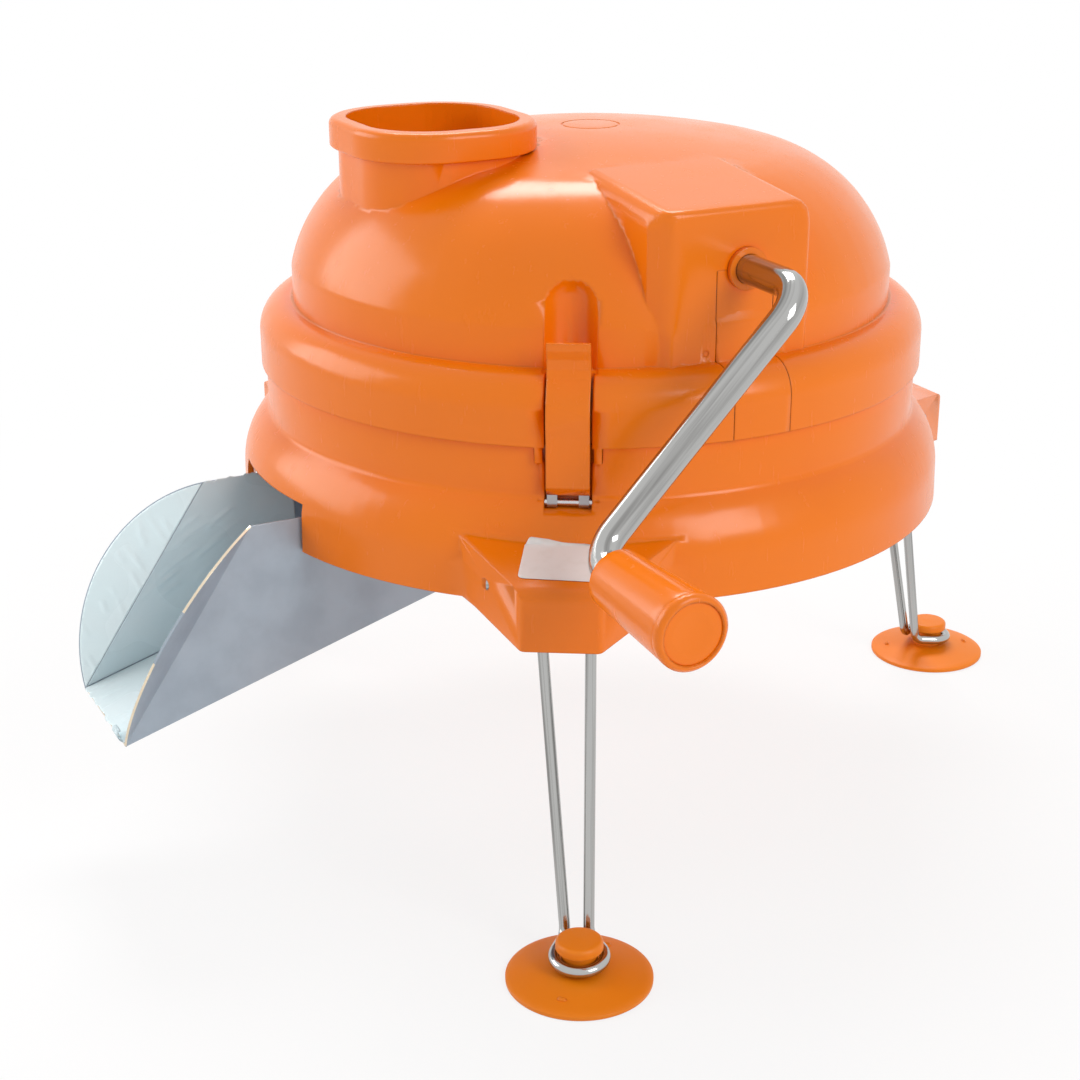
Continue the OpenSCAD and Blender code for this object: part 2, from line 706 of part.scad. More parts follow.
collar_z = deck_z + 2.6;
module spindle() color(steel) {
    translate([0, 0, deck_low_z - 14]) cylinder(d = spindle_d, h = boss_z + 11 - deck_low_z + 14);
    translate([0, 0, deck_z + seat_gap]) cylinder(r = spindle_d / 2 + 2.2, h = collar_z - deck_z - seat_gap);
}

nut_across = 22;
module spindle_nut() color(steel) translate([0, 0, deck_low_z - 12]) difference() {
    cylinder(d = nut_across / cos(30), h = 8 - seat_gap, $fn = 6);
    translate([0, 0, -1]) cylinder(d = spindle_d + 2 * seat_gap, h = 20);
}

// ---------- dicing grid ----------

grid_low_z = deck_z - grid_h;
grid_cells = floor(grid_in / grid_pitch);
tier_h = (grid_h - rim_t) / 2;
grid_screw_x = rim_half - 2.6;
grid_screw_y = grid_in / 3;
grid_screw_r = 1.3;
grid_screw_head_r = 2.3;

module at_grid() at(chute_az) translate([hopper_offset, 0, 0]) children();

// One tier of parallel blades, sharpened along their upper edges
module blade_tier(grow, z0) for (i = [1 : grid_cells - 1])
    translate([0, (i - grid_cells / 2) * grid_pitch, z0]) rotate([90, 0, 90])
        linear_extrude(grid_in + 2 * grid_wall - 1 + 2 * grow, center = true) {
            t = grid_blade_t / 2 + grow;
            high = tier_h + 2 * grow;
            polygon([[-t, -grow], [t, -grow], [t, high - 1], [grow, high], [-grow, high], [-t, high - 1]]);
        }

module grid_frame() color(steel) at_grid() difference() {
    union() {
        translate([0, 0, grid_low_z]) linear_extrude(grid_h) square(grid_in + 2 * grid_wall, center = true);
        translate([0, 0, deck_z - rim_t]) linear_extrude(rim_t) square(2 * rim_half, center = true);
    }
    translate([0, 0, grid_low_z - 1]) linear_extrude(grid_h + 2) square(grid_in, center = true);
    blade_tier(0.1, grid_low_z + 1);
    rotate([0, 0, 90]) blade_tier(0.1, grid_low_z + 1 + tier_h);
    for (sx = [-1, 1], sy = [-1, 1]) translate([sx * grid_screw_x, sy * grid_screw_y, deck_z - rim_t - 1]) {
        cylinder(r = grid_screw_r + seat_gap, h = 10);
        translate([0, 0, 1 + rim_t - 1.3]) cylinder(r = grid_screw_head_r + seat_gap, h = 10);
    }
}
module grid_blades() color(steel) at_grid() blade_tier(0, grid_low_z + 1);
module grid_cross_blades() color(steel) at_grid() rotate([0, 0, 90]) blade_tier(0, grid_low_z + 1 + tier_h + 0.1);
module grid_screws() color(steel) at_grid() for (sx = [-1, 1], sy = [-1, 1])
    translate([sx * grid_screw_x, sy * grid_screw_y, deck_z]) {
        translate([0, 0, -1.3]) cylinder(r = grid_screw_head_r, h = 1.2);
        translate([0, 0, -6]) cylinder(r = grid_screw_r, h = 5);
    }

// ---------- chute ----------

chute_in_x = hopper_offset - grid_in / 2 - 5;
chute_tan = tan(chute_slope);
floor_in_z = mouth_z + (mouth_x - chute_in_x) * chute_tan;
step_x = skirt_r - 27;
flap_chord = norm([mouth_x - flap_x, chute_top_z - mouth_z]);
flap_r = (pow(flap_chord / 2, 2) + pow(flap_rise, 2)) / (2 * flap_rise);
flap_dir = atan2(chute_top_z - mouth_z, flap_x - mouth_x);
ear_w = 18;
ear_z = deck_low_z - sheet_t - seat_gap;
chute_screw_x = [chute_in_x + 22, step_x - 20];
chute_screw_y = chute_w / 2 + ear_w - 6;
chute_screw_r = 1.7;

module chute_side(s) {
    translate([0, s * chute_w / 2, 0]) rotate([90, 0, 0]) {
        translate([0, 0, s > 0 ? 0 : -sheet_t]) linear_extrude(sheet_t)
            polygon([[mouth_x, mouth_z], [flap_x, chute_top_z], [step_x, chute_top_z], [step_x, ear_z + sheet_t],
                     [chute_in_x, ear_z + sheet_t], [chute_in_x, floor_in_z]]);
        // The end flap, a circular segment bent out along the wall's sloping end
        translate([mouth_x, mouth_z, s * sheet_t / 2]) rotate([0, 0, flap_dir]) rotate([s * flap_bend, 0, 0])
            linear_extrude(sheet_t, center = true) intersection() {
                translate([flap_chord / 2, flap_r - flap_rise]) circle(flap_r);
                translate([0, -flap_chord]) square([flap_chord, flap_chord + sheet_t / 8]);
            }
    }
    // The ear that is screwed up under the deck
    translate([chute_in_x, s > 0 ? chute_w / 2 - e : -chute_w / 2 - ear_w, ear_z]) difference() {
        cube([step_x - chute_in_x, ear_w + e, sheet_t]);
        for (x = chute_screw_x) translate([x - chute_in_x, s > 0 ? ear_w - 6 + e : 6, -1])
            cylinder(r = chute_screw_r + seat_gap, h = 5);
    }
}

module chute() color(sheet) at(chute_az) {
    across(chute_w) polygon([[mouth_x, mouth_z], [chute_in_x, floor_in_z],
        [chute_in_x, floor_in_z + sheet_t / cos(chute_slope)], [mouth_x, mouth_z + sheet_t / cos(chute_slope)]]);
    for (s = [-1, 1]) chute_side(s);
}

module chute_screws() color(steel) chute_screw_places()
    translate([0, 0, -sheet_t - seat_gap]) rotate([180, 0, 0]) screw(3, chute_screw_r, deck_t - 1);

// ---------- crank ----------

shaft_in_x = saddle_x0 - 7;
hub_end_x = pinion_x + gear_face / 2 + 6;
pinion_hub_r = 11;
pinion_pin_r = 2;
grip_x0 = arm_x + grip_start;
grip_x1 = grip_x0 + grip_len;
grip_pin_r = rod_r - 1.5;
cap_depth = 3;
nest_depth = 14;
washer_t = 1.5;
grip_pin_x1 = grip_x1 - nest_depth + 0.3;
grip_screw_r = 2.5;

// Places children with X along the shaft and Y along the arm
module crank_frame() at(crank_az) translate([0, 0, shaft_z]) rotate([arm_angle, 0, 0]) children();

module crank_rod() color(steel) crank_frame() difference() {
    union() {
        rod_x(rod_r, shaft_in_x, arm_x - bend_r);
        translate([arm_x - bend_r, bend_r, 0]) rotate([0, 0, -90])
            rotate_extrude(angle = 90) translate([bend_r, 0]) circle(rod_r);
        translate([arm_x, bend_r, 0]) rotate([-90, 0, 0]) cylinder(r = rod_r, h = arm_len - 2 * bend_r);
        translate([arm_x + bend_r, arm_len - bend_r, 0]) rotate([0, 0, 90])
            rotate_extrude(angle = 90) translate([bend_r, 0]) circle(rod_r);
        translate([0, arm_len, 0]) {
            rod_x(rod_r, arm_x + bend_r, grip_x0 - move_gap);
            rod_x(grip_pin_r, grip_x0 - move_gap - e, grip_pin_x1);
        }
    }
    translate([(pinion_x + gear_face / 2 + hub_end_x) / 2, 0, 0]) rod_y(pinion_pin_r + seat_gap, 3 * rod_d);
    translate([0, arm_len, 0]) rod_x(grip_screw_r + seat_gap, grip_pin_x1 - 14, grip_pin_x1 + 1);
}

// ---------- gears ----------

pitch_r = gear_m * pinion_teeth / 2;
base_circle_r = pitch_r * cos(20);
tip_r = pitch_r + gear_m;
root_r = pitch_r - 1.25 * gear_m;
function inv(a) = tan(a) * 180 / PI - a;
// Half of a tooth's angle at radius r of the involute flank
half_tooth = 90 / pinion_teeth - backlash / 4 / pitch_r * 180 / PI;
function flank(r) = half_tooth + inv(20) - inv(acos(min(1, base_circle_r / r)));
flank_r = [for (i = [0 : 4]) base_circle_r + (tip_r - base_circle_r) * i / 4];

module pinion_section() polygon([for (k = [0 : pinion_teeth - 1]) let (c = 360 * k / pinion_teeth) each concat(
    [[root_r * cos(c - flank(base_circle_r)), root_r * sin(c - flank(base_circle_r))]],
    [for (r = flank_r) [r * cos(c - flank(r)), r * sin(c - flank(r))]],
    [for (i = [4 : -1 : 0]) let (r = flank_r[i]) [r * cos(c + flank(r)), r * sin(c + flank(r))]],
    [[root_r * cos(c + flank(base_circle_r)), root_r * sin(c + flank(base_circle_r))]])]);

module drive_pinion() color("dimgray") at(crank_az) translate([0, 0, shaft_z]) difference() {
    union() {
        translate([pinion_x - gear_face / 2, 0, 0]) rotate([90, 0, 90]) linear_extrude(gear_face)
            rotate([0, 0, -90]) pinion_section();
        rod_x(pinion_hub_r, pinion_x + gear_face / 2 - e, hub_end_x);
    }
    rod_x(rod_r + seat_gap / 2, pinion_x - gear_face, hub_end_x + 1);
    rotate([arm_angle, 0, 0]) translate([(pinion_x + gear_face / 2 + hub_end_x) / 2, 0, 0])
        rod_y(pinion_pin_r + seat_gap, 3 * rod_d);
}

module pinion_pin() color(steel) crank_frame()
    translate([(pinion_x + gear_face / 2 + hub_end_x) / 2, 0, 0]) rod_y(pinion_pin_r, 2 * pinion_hub_r + 1);

module shaft_collar() color(steel) crank_frame() difference() {
    rod_x(rod_r + 4.5, shaft_in_x + 0.5, saddle_x0 - move_gap);
    rod_x(rod_r + seat_gap / 2, shaft_in_x - 1, saddle_x0 + 1);
    translate([(shaft_in_x + saddle_x0) / 2, rod_r + 4, 0]) rotate([-90, 0, 0]) cylinder(r = 1.5, h = 5, center = true);
}

crown_pitch_z = shaft_z - pitch_r;
crown_tip = 0.8 * gear_m;
crown_root_z = crown_pitch_z - 1.2 * gear_m;
crown_low_z = crown_root_z - 2.42 * gear_m;
crown_in_r = pinion_x - gear_face / 2;
crown_out_r = pinion_x + gear_face / 2;
module crown_gear() color("ivory") difference() {
    union() {
        rotate_extrude() translate([crown_in_r, crown_low_z]) square([gear_face, crown_root_z - crown_low_z]);
        at(crank_az) for (k = [0 : crown_teeth - 1]) rotate([0, 0, (k + 0.5) * 360 / crown_teeth])
            along(crown_in_r + 0.4, crown_out_r - 0.6) crown_tooth();
    }
    gear_screw_places() translate([0, 0, -1]) cylinder(r = gear_screw_r + seat_gap, h = 7);
}

module crown_tooth() {
    half = (PI * gear_m / 2 - backlash) / 2;
    slope = tan(20);
    low = crown_pitch_z - crown_root_z + 0.4;
    translate([0, crown_pitch_z]) polygon([[-half - low * slope, -low], [half + low * slope, -low],
        [half - crown_tip * slope, crown_tip], [-half + crown_tip * slope, crown_tip]]);
}

gear_screw_r = 1.6;
gear_screw_head_r = 2.8;
gear_screws_n = 6;
module gear_screw_places() for (k = [0 : gear_screws_n - 1])
    rotate([0, 0, 360 * k / gear_screws_n]) translate([crown_out_r - gear_screw_head_r - 1, 0, crown_low_z]) children();

module gear_screws() color(steel) gear_screw_places()
    translate([0, 0, -drum_flange_t - seat_gap]) rotate([180, 0, 0]) screw(gear_screw_head_r, gear_screw_r, drum_flange_t + 5);

// ---------- rotor ----------

drum_flange_t = 4;
drum_low_z = collar_z + 0.4;
drum_out_r = crown_in_r + drum_wall - 0.5;
drum_in_r = drum_out_r - drum_wall;
hub_top_z = crown_low_z + 4;
ramp_steps = 12;

// A helical ramp that presses what lies under it down as the rotor turns
module ramp() {
    in = hub_r - 2;
    out = drum_in_r + drum_wall / 2;
    low = drum_low_z + 0.6;
    rows = [for (i = [0 : ramp_steps]) let (a = ramp_sweep * i / ramp_steps, z = low + ramp_rise * i / ramp_steps)
        [[in * cos(a), in * sin(a), z], [out * cos(a), out * sin(a), z],
         [out * cos(a), out * sin(a), z + ramp_t], [in * cos(a), in * sin(a), z + ramp_t]]];
    polyhedron([for (row = rows) each row], concat(
        [[3, 2, 1, 0]],
        [for (i = [0 : ramp_steps - 1], k = [0 : 3]) let (n = (k + 1) % 4, p = 4 * i)
            each [[p + k, p + n, p + 4 + k], [p + n, p + 4 + n, p + 4 + k]]],
        [[for (k = [0 : 3]) 4 * ramp_steps + k]]));
}

module rotor() color("gainsboro") difference() {
    union() {
        translate([0, 0, drum_low_z]) cylinder(r = hub_r, h = hub_top_z - drum_low_z);
        rotate_extrude() polygon([[drum_in_r, drum_low_z], [drum_out_r, drum_low_z],
            [drum_out_r, crown_low_z - drum_flange_t], [crown_out_r, crown_low_z - drum_flange_t],
            [crown_out_r, crown_low_z - seat_gap], [drum_in_r, crown_low_z - seat_gap]]);
        // One gap between the ramps stands under the hopper
        for (k = [0 : ramps - 1]) rotate([0, 0, hopper_az - (360 / ramps + ramp_sweep) / 2 + 360 * k / ramps]) ramp();
    }
    translate([0, 0, deck_z]) cylinder(d = spindle_d + 2 * run_gap, h = 100);
    gear_screw_places() translate([0, 0, -drum_flange_t - 5]) cylinder(r = gear_screw_r + seat_gap, h = 12);
    blade_screw_places() translate([0, 0, -1]) cylinder(r = blade_screw_r + seat_gap, h = 9);
}

// The blade is a bowed strip from the hub to the drum, held by a screw at each end
blade_az = -30;
blade_screw_r = 1.4;
blade_w = 14;
blade_bow = drum_in_r / 9;
blade_eye_x = [hub_r - 3.6, drum_in_r + drum_wall / 2];
blade_span = blade_eye_x[1] - blade_eye_x[0];
blade_r = (pow(blade_span / 2, 2) + pow(blade_bow, 2)) / (2 * blade_bow);
module blade_screw_places() at(blade_az) for (x = blade_eye_x) translate([x, 0, drum_low_z]) children();

module slicing_blade() color(steel) at(blade_az) translate([0, 0, drum_low_z - blade_t - 0.1]) difference() {
    linear_extrude(blade_t) intersection() {
        circle(drum_out_r);
        translate([hub_r - 6, -blade_span]) square(2 * blade_span);
        translate([(blade_eye_x[0] + blade_eye_x[1]) / 2, blade_r - blade_bow]) difference() {
            circle(blade_r + blade_w / 2);
            circle(blade_r - blade_w / 2);
            translate([-blade_r, -blade_bow / 2 + blade_w]) square(4 * blade_r);
            translate([-2 * blade_r, 0]) square([4 * blade_r, 4 * blade_r]);
        }
    }
    for (x = blade_eye_x) translate([x, 0, -1]) cylinder(r = blade_screw_r + seat_gap, h = 5);
}

module blade_screws() color(steel) blade_screw_places()
    translate([0, 0, -blade_t - 0.2]) cylinder(r = blade_screw_r, h = 9);

// ---------- grip ----------

module grip_frame() crank_frame() translate([0, arm_len, 0]) children();

module grip() color(moulded) grip_frame() difference() {
    translate([grip_x0, 0, 0]) rotate([90, 0, 90]) rotate_extrude() polygon(concat(
        [[0, 0], [grip_d1 / 2 - 1.5, 0], [grip_d1 / 2, 1.8], [grip_d2 / 2 - 0.2, grip_len - 5.5],
         [grip_d2 / 2 - 0.5, grip_len - 5], [grip_d2 / 2 - 0.5, grip_len - 4.6], [grip_d2 / 2, grip_len - 4]],
        [[grip_d2 / 2, grip_len - 1.6], [grip_d2 / 2 - 1.6, grip_len], [0, grip_len]]));
    rod_x(grip_pin_r + run_gap, grip_x0 - 1, grip_x1);
    rod_x(rod_r + 3, grip_x1 - nest_depth, grip_x1 + 1);
    rod_x(grip_cap_r + seat_gap / 2, grip_x1 - cap_depth - 0.8, grip_x1 + 1);
}

grip_cap_r = grip_d2 / 2 - 3;
module grip_cap() color(moulded) grip_frame() difference() {
    rod_x(grip_cap_r, grip_x1 - cap_depth - 0.7, grip_x1 - 0.7);
    translate([grip_x1 + 58.6, 0, 0]) sphere(r = 60, $fn = 128);
}

module grip_washer() color(steel) grip_frame() difference() {
    rod_x(rod_r + 1.6, grip_pin_x1, grip_pin_x1 + washer_t);
    rod_x(grip_screw_r + seat_gap, grip_pin_x1 - 1, grip_pin_x1 + 3);
}

module grip_screw() color(steel) grip_frame() translate([grip_pin_x1 + washer_t, 0, 0]) rotate([0, 90, 0])
    screw(4.6, grip_screw_r, 13);

// ---------- latches ----------

hook_gap = 0.45;
strap_t = 1.2;
strap_x = latch_pivot_x + latch_pin_d / 2 + 0.9 - strap_t;
strap_in = latch_w / 2 - 4.8;
strap_w = 4.5;
strap_top_z = latch_pivot_z + 13;
latch_low_z = seam_z - 21.5;
latch_top_z = flange_top_z + 14.8;
hook_x = catch_top_x + 2.2;
// Height of the catch's slope at distance x
function catch_at(x) = catch_z + (catch_x - x) * (dome_base_z + 0.1 - catch_z) / (catch_x - catch_top_x);

// The latch's section: up its outer face, over its tip and down its hooked inner face.
// Its lower corner is cut back so that it clears the pocket when the latch swings out.
module latch(az) color(moulded) at(az) difference() {
    across(latch_w) polygon([
        [flange_r - 4.2, latch_low_z], [flange_r - 1, latch_low_z], [flange_r + 2, latch_low_z + 4],
        [flange_r + 2, seam_z + 4], [flange_r + 3.4, flange_top_z - 21.5], [flange_r + 3.6, flange_top_z - 16],
        [flange_r + 2.2, flange_top_z - 10.5], [flange_r - 1.5, flange_top_z - 5.5],
        [flange_r - 4.6, flange_top_z - 1.5], [flange_r - 5.5, flange_top_z + 2.5],
        [flange_r - 4.8, flange_top_z + 7], [flange_r - 2.6, flange_top_z + 11.5],
        [flange_r - 1.8, latch_top_z], [flange_r - 4.2, latch_top_z],
        [flange_r - 6.4, flange_top_z + 10.5], [flange_r - 8.5, flange_top_z + 5],
        [hook_x, flange_top_z + 1.6], [hook_x, catch_at(hook_x) + hook_gap * 1.3],
        [catch_x + 0.5, catch_at(catch_x + 0.5) + hook_gap * 1.3], [catch_x + 0.5, flange_top_z - 14],
        [flange_r - 4.2, flange_top_z - 19]]);
    for (s = [-1, 1]) translate([strap_x - 0.1, s > 0 ? strap_in - 0.1 : -strap_in - strap_w - 0.1, latch_low_z - 1])
        cube([strap_t + 0.2, strap_w + 0.2, strap_top_z - latch_low_z + 1.1]);
}
module latch_front() latch(front_az);
module latch_right() latch(right_az);
module latch_left() latch(left_az);

// A strap of spring steel whose two legs curl round the latch's pin
module latch_hinge(az) color(dark_steel) at(az) for (s = [-1, 1]) translate([0, s * (strap_in + strap_w / 2), 0])
    difference() {
        union() {
            translate([latch_pivot_x, 0, latch_pivot_z]) rod_y(latch_pin_d / 2 + 0.9, strap_w);
            translate([strap_x, -strap_w / 2, latch_pivot_z]) cube([strap_t, strap_w, strap_top_z - latch_pivot_z]);
        }
        translate([latch_pivot_x, 0, latch_pivot_z]) rod_y(latch_pin_d / 2 + run_gap, strap_w + 1);
    }
module latch_hinge_front() latch_hinge(front_az);
module latch_hinge_right() latch_hinge(right_az);
module latch_hinge_left() latch_hinge(left_az);

module latch_pins() color(steel) for (az = thirds) at(az)
    translate([latch_pivot_x, 0, latch_pivot_z]) rod_y(latch_pin_d / 2, slot_w + 5);

// ---------- legs ----------

wire_r = leg_wire_d / 2;
loop_z = foot_h - 9;
trunnion_end = lug_y(pivot_x, 0) - 0.6;
// How far a wire runs on into its bend or loop
wire_lap = 0.3;
// Where the two wires' lower bends and the ends of the loop lie, seen from the foot's centre
tails = [for (s = [-1, 1]) [-loop_tail, leg_lean - foot_lean + s * tail_half]];
tail_turn = [for (i = [0, 1]) (2 * i - 1) * (atan2(abs(tails[i][1]), tails[i][0]) - acos(loop_r / norm(tails[i])))];
// A point of the sloping loop's plane
function on_loop(q) = [foot_x, foot_lean, loop_z] + [q[0] * cos(loop_tilt), q[1], -q[0] * sin(loop_tilt)];

module leg_wire(az) color(steel) at(az) {
    for (i = [0, 1]) {
        s = 2 * i - 1;
        wire_path([[pivot_x, s * trunnion_end, pivot_z], [pivot_x, s * wire_half, pivot_z], on_loop(tails[i]),
                   on_loop(loop_r * [cos(tail_turn[i]), sin(tail_turn[i])])], leg_bend, wire_r, wire_lap);
    }
    translate([foot_x, foot_lean, loop_z]) rotate([0, loop_tilt, 0]) rotate([0, 0, tail_turn[0]])
        rotate_extrude(angle = tail_turn[1] - tail_turn[0]) translate([loop_r, 0]) circle(wire_r + e);
}
module leg_wire_front() leg_wire(front_az);
module leg_wire_right() leg_wire(right_az);
module leg_wire_left() leg_wire(left_az);

neck_r = loop_r - wire_r - 0.5;
// Underside of a foot's knob, above the sloping loop
knob_z = loop_z + wire_r + loop_r * sin(loop_tilt) + 0.2;
module suction_foot(az) color(moulded) at(az) translate([foot_x, foot_lean, 0]) {
    rotate_extrude() polygon(concat([[0, 3.2], [foot_r * 0.5, 2.3], [foot_r - 4.6, 0.2], [foot_r - 4.4, 0], [foot_r, 0],
        [foot_r, 1.5], [foot_r - 1.2, 2.3], [foot_r * 0.62, 4.4], [foot_r * 0.36, 5.6], [neck_r, 5.8],
        [neck_r, knob_z - 0.1], [knob_r - 0.4, knob_z], [knob_r, knob_z + 0.5]],
        arc([knob_r - 2, foot_h - 2.4], 2, 0, 80, 5), [[0, foot_h]]));
}
module suction_foot_front() suction_foot(front_az);
module suction_foot_right() suction_foot(right_az);
module suction_foot_left() suction_foot(left_az);

// ---------- what is drawn ----------

base_housing();
spindle();
spindle_nut();
grid_frame();
grid_blades();
grid_cross_blades();
grid_screws();
chute();
chute_screws();
latch_pins();
cover_shell();
slot_insert();
insert_screws();
crank_bush();
bearing_cap();
bearing_screws();
top_bush();
crank_rod();
drive_pinion();
pinion_pin();
shaft_collar();
grip_washer();
grip_screw();
grip();
grip_cap();
rotor();
crown_gear();
gear_screws();
slicing_blade();
blade_screws();
latch_front();
latch_right();
latch_left();
latch_hinge_front();
latch_hinge_right();
latch_hinge_left();
leg_wire_front();
leg_wire_right();
leg_wire_left();
suction_foot_front();
suction_foot_right();
suction_foot_left();
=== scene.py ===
import json
import math
import bmesh
import bpy
import numpy
import random
from mathutils import Matrix, Vector, geometry, noise
from mathutils.bvhtree import BVHTree

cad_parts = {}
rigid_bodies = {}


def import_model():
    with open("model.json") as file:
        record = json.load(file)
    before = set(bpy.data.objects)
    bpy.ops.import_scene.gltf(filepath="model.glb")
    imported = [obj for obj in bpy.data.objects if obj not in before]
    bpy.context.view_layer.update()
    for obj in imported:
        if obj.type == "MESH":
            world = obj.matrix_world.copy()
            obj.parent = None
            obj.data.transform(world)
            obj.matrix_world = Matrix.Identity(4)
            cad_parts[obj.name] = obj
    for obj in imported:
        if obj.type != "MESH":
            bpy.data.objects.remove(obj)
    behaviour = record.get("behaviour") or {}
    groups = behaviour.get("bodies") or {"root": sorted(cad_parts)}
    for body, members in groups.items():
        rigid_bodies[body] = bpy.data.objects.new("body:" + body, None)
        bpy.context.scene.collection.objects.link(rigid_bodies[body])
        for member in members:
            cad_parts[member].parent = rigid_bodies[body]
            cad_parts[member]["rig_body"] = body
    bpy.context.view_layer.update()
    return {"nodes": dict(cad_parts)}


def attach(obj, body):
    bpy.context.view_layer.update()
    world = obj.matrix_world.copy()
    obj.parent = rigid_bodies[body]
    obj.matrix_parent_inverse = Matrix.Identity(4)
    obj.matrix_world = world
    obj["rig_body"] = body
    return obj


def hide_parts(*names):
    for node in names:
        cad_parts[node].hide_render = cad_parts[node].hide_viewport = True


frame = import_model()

nodes = frame["nodes"]

# ---------------------------------------------------------------------------
# Worktop and backdrop
# A pale worktop that keeps the machine's shadow. It and the room behind are
# white to the camera, and gloss, metal and glass see the same white.
# ---------------------------------------------------------------------------
def joined(tree, sources, node_type, socket=0, **settings):
    """A new node fed from sources, which are sockets, numbers or vectors; gives one output."""
    node = tree.nodes.new(node_type)
    for setting, value in settings.items():
        setattr(node, setting, value)
    for place, value in sources.items():
        if isinstance(value, bpy.types.NodeSocket):
            tree.links.new(value, node.inputs[place])
        else:
            node.inputs[place].default_value = value
    return node.outputs[socket]


def reckon(tree, operation, first, second=0.0):
    """One step of arithmetic between two values, either of which may be a plain number."""
    return joined(tree, {0: first, 1: second}, "ShaderNodeMath", operation=operation)


def ranged(tree, value, low, high, to_low=0.0, to_high=1.0):
    """The span of value from low to high, eased to run from to_low to to_high."""
    return joined(tree,
                  {"Value": value, "From Min": low, "From Max": high, "To Min": to_low, "To Max": to_high},
                  "ShaderNodeMapRange", interpolation_type="SMOOTHSTEP")


def sees_backdrop(tree):
    """1 for the rays that see the white backdrop, which are those of the camera, of gloss and of glass."""
    ray = tree.nodes.new("ShaderNodeLightPath")
    camera_ray, glossy_ray, glass_ray = (ray.outputs[f"Is {kind} Ray"]
                                         for kind in ("Camera", "Glossy", "Transmission"))
    return reckon(tree, "MAXIMUM", camera_ray, reckon(tree, "MAXIMUM", glossy_ray, glass_ray))


worktop_reach, worktop_drop = 6.0, 0.0004
shadow_reach, clear_reach, white_in_shadow = 0.30, 0.75, 0.80
room_level = 0.464
worktop_mesh = bpy.data.meshes.new("worktop")
worktop_mesh.from_pydata([(x * worktop_reach, y * worktop_reach, -worktop_drop)
                          for x, y in ((-1, -1), (1, -1), (1, 1), (-1, 1))], [], [(0, 1, 2, 3)])
worktop = bpy.data.objects.new("worktop", worktop_mesh)
bpy.context.scene.collection.objects.link(worktop)
paint = bpy.data.materials.new("worktop_paint")
paint.use_nodes = True
paint_tree = paint.node_tree
paint_tree.nodes["Principled BSDF"].inputs["Base Color"].default_value = (0.90, 0.90, 0.90, 1)
paint_tree.nodes["Principled BSDF"].inputs["Roughness"].default_value = 0.8
spot = joined(paint_tree, {}, "ShaderNodeTexCoord", "Object")
away = joined(paint_tree, {0: spot}, "ShaderNodeVectorMath", "Value", operation="LENGTH")
plain_white = joined(paint_tree, {"Strength": 1.0}, "ShaderNodeEmission")
white_share = ranged(paint_tree, away, shadow_reach, clear_reach, white_in_shadow, 1.0)
lifted_white = reckon(paint_tree, "MULTIPLY", sees_backdrop(paint_tree), white_share)
worktop_look = joined(paint_tree,
                      {0: lifted_white, 1: paint_tree.nodes["Principled BSDF"].outputs[0], 2: plain_white},
                      "ShaderNodeMixShader")
paint_tree.links.new(worktop_look, paint_tree.nodes["Material Output"].inputs["Surface"])
worktop_mesh.materials.append(paint)

studio = bpy.data.worlds.new("studio")
bpy.context.scene.world = studio
studio.use_nodes = True
room = studio.node_tree
room.nodes.clear()
room_light = joined(room, {"Color": (room_level, room_level, room_level, 1)}, "ShaderNodeBackground")
room_white = joined(room, {"Color": (1, 1, 1, 1)}, "ShaderNodeBackground")
room_seen = joined(room, {0: sees_backdrop(room), 1: room_light, 2: room_white}, "ShaderNodeMixShader")
room.links.new(room_seen, room.nodes.new("ShaderNodeOutputWorld").inputs["Surface"])


def softbox(name, place, width, height, watts):
    """A soft rectangular studio lamp, aimed at the machine's middle."""
    lamp = bpy.data.lights.new(name, "AREA")
    lamp.shape, lamp.size, lamp.size_y, lamp.energy = "RECTANGLE", width, height, watts
    stand = bpy.data.objects.new(name, lamp)
    stand.location = place
    stand.rotation_euler = (Vector((0, 0, 0.2)) - Vector(place)).to_track_quat("-Z", "Y").to_euler()
    bpy.context.scene.collection.objects.link(stand)


softbox("back_softbox", (-0.15, 1.15, 1.9), 1.1, 0.6, 20)
softbox("left_softbox", (-1.9, 0.15, 0.95), 1.5, 1.2, 19)
softbox("right_softbox", (1.3, -1.2, 1.15), 0.8, 1.0, 14)

# ---------------------------------------------------------------------------
# Camera
# It stands in front of the machine and a little above it, as at a counter.
# ---------------------------------------------------------------------------
lens = bpy.data.cameras.new("counter_camera")
lens.sensor_fit = "HORIZONTAL"
lens.sensor_width, lens.lens = 36.0, 64.115
camera = bpy.data.objects.new("counter_camera", lens)
bpy.context.scene.collection.objects.link(camera)
camera_place = (0, -0.94772, 0.48242)
machine_turn, pan, look_down, roll = (math.radians(angle) for angle in (3.1, 1.5413, 21.236, -0.2657))
level_look = math.radians(90)
heading = (Matrix.Rotation(pan, 4, "Z") @ Matrix.Rotation(level_look - look_down, 4, "X")
           @ Matrix.Rotation(roll, 4, "Z"))
camera.matrix_world = Matrix.Rotation(machine_turn, 4, "Z") @ Matrix.Translation(camera_place) @ heading
bpy.context.scene.camera = camera
bpy.context.scene.view_settings.view_transform = "Standard"


# ---------------------------------------------------------------------------
# Base housing
# One injection-moulded ring in glossy orange plastic, with a deck across it, a
# skirt, and three hollow lugs that carry the legs. It stands open below.
# ---------------------------------------------------------------------------
def as_one_skin(node, crease=32):
    """A welded copy of a node's mesh, smooth between crisp edges, which stands for the node."""
    skin = bmesh.new()
    skin.from_mesh(nodes[node].data)
    bmesh.ops.remove_doubles(skin, verts=skin.verts, dist=2e-6)
    mesh = bpy.data.meshes.new(node + "_skin")
    skin.to_mesh(mesh)
    skin.free()
    mesh.materials.clear()
    return settled(mesh, node, crease)


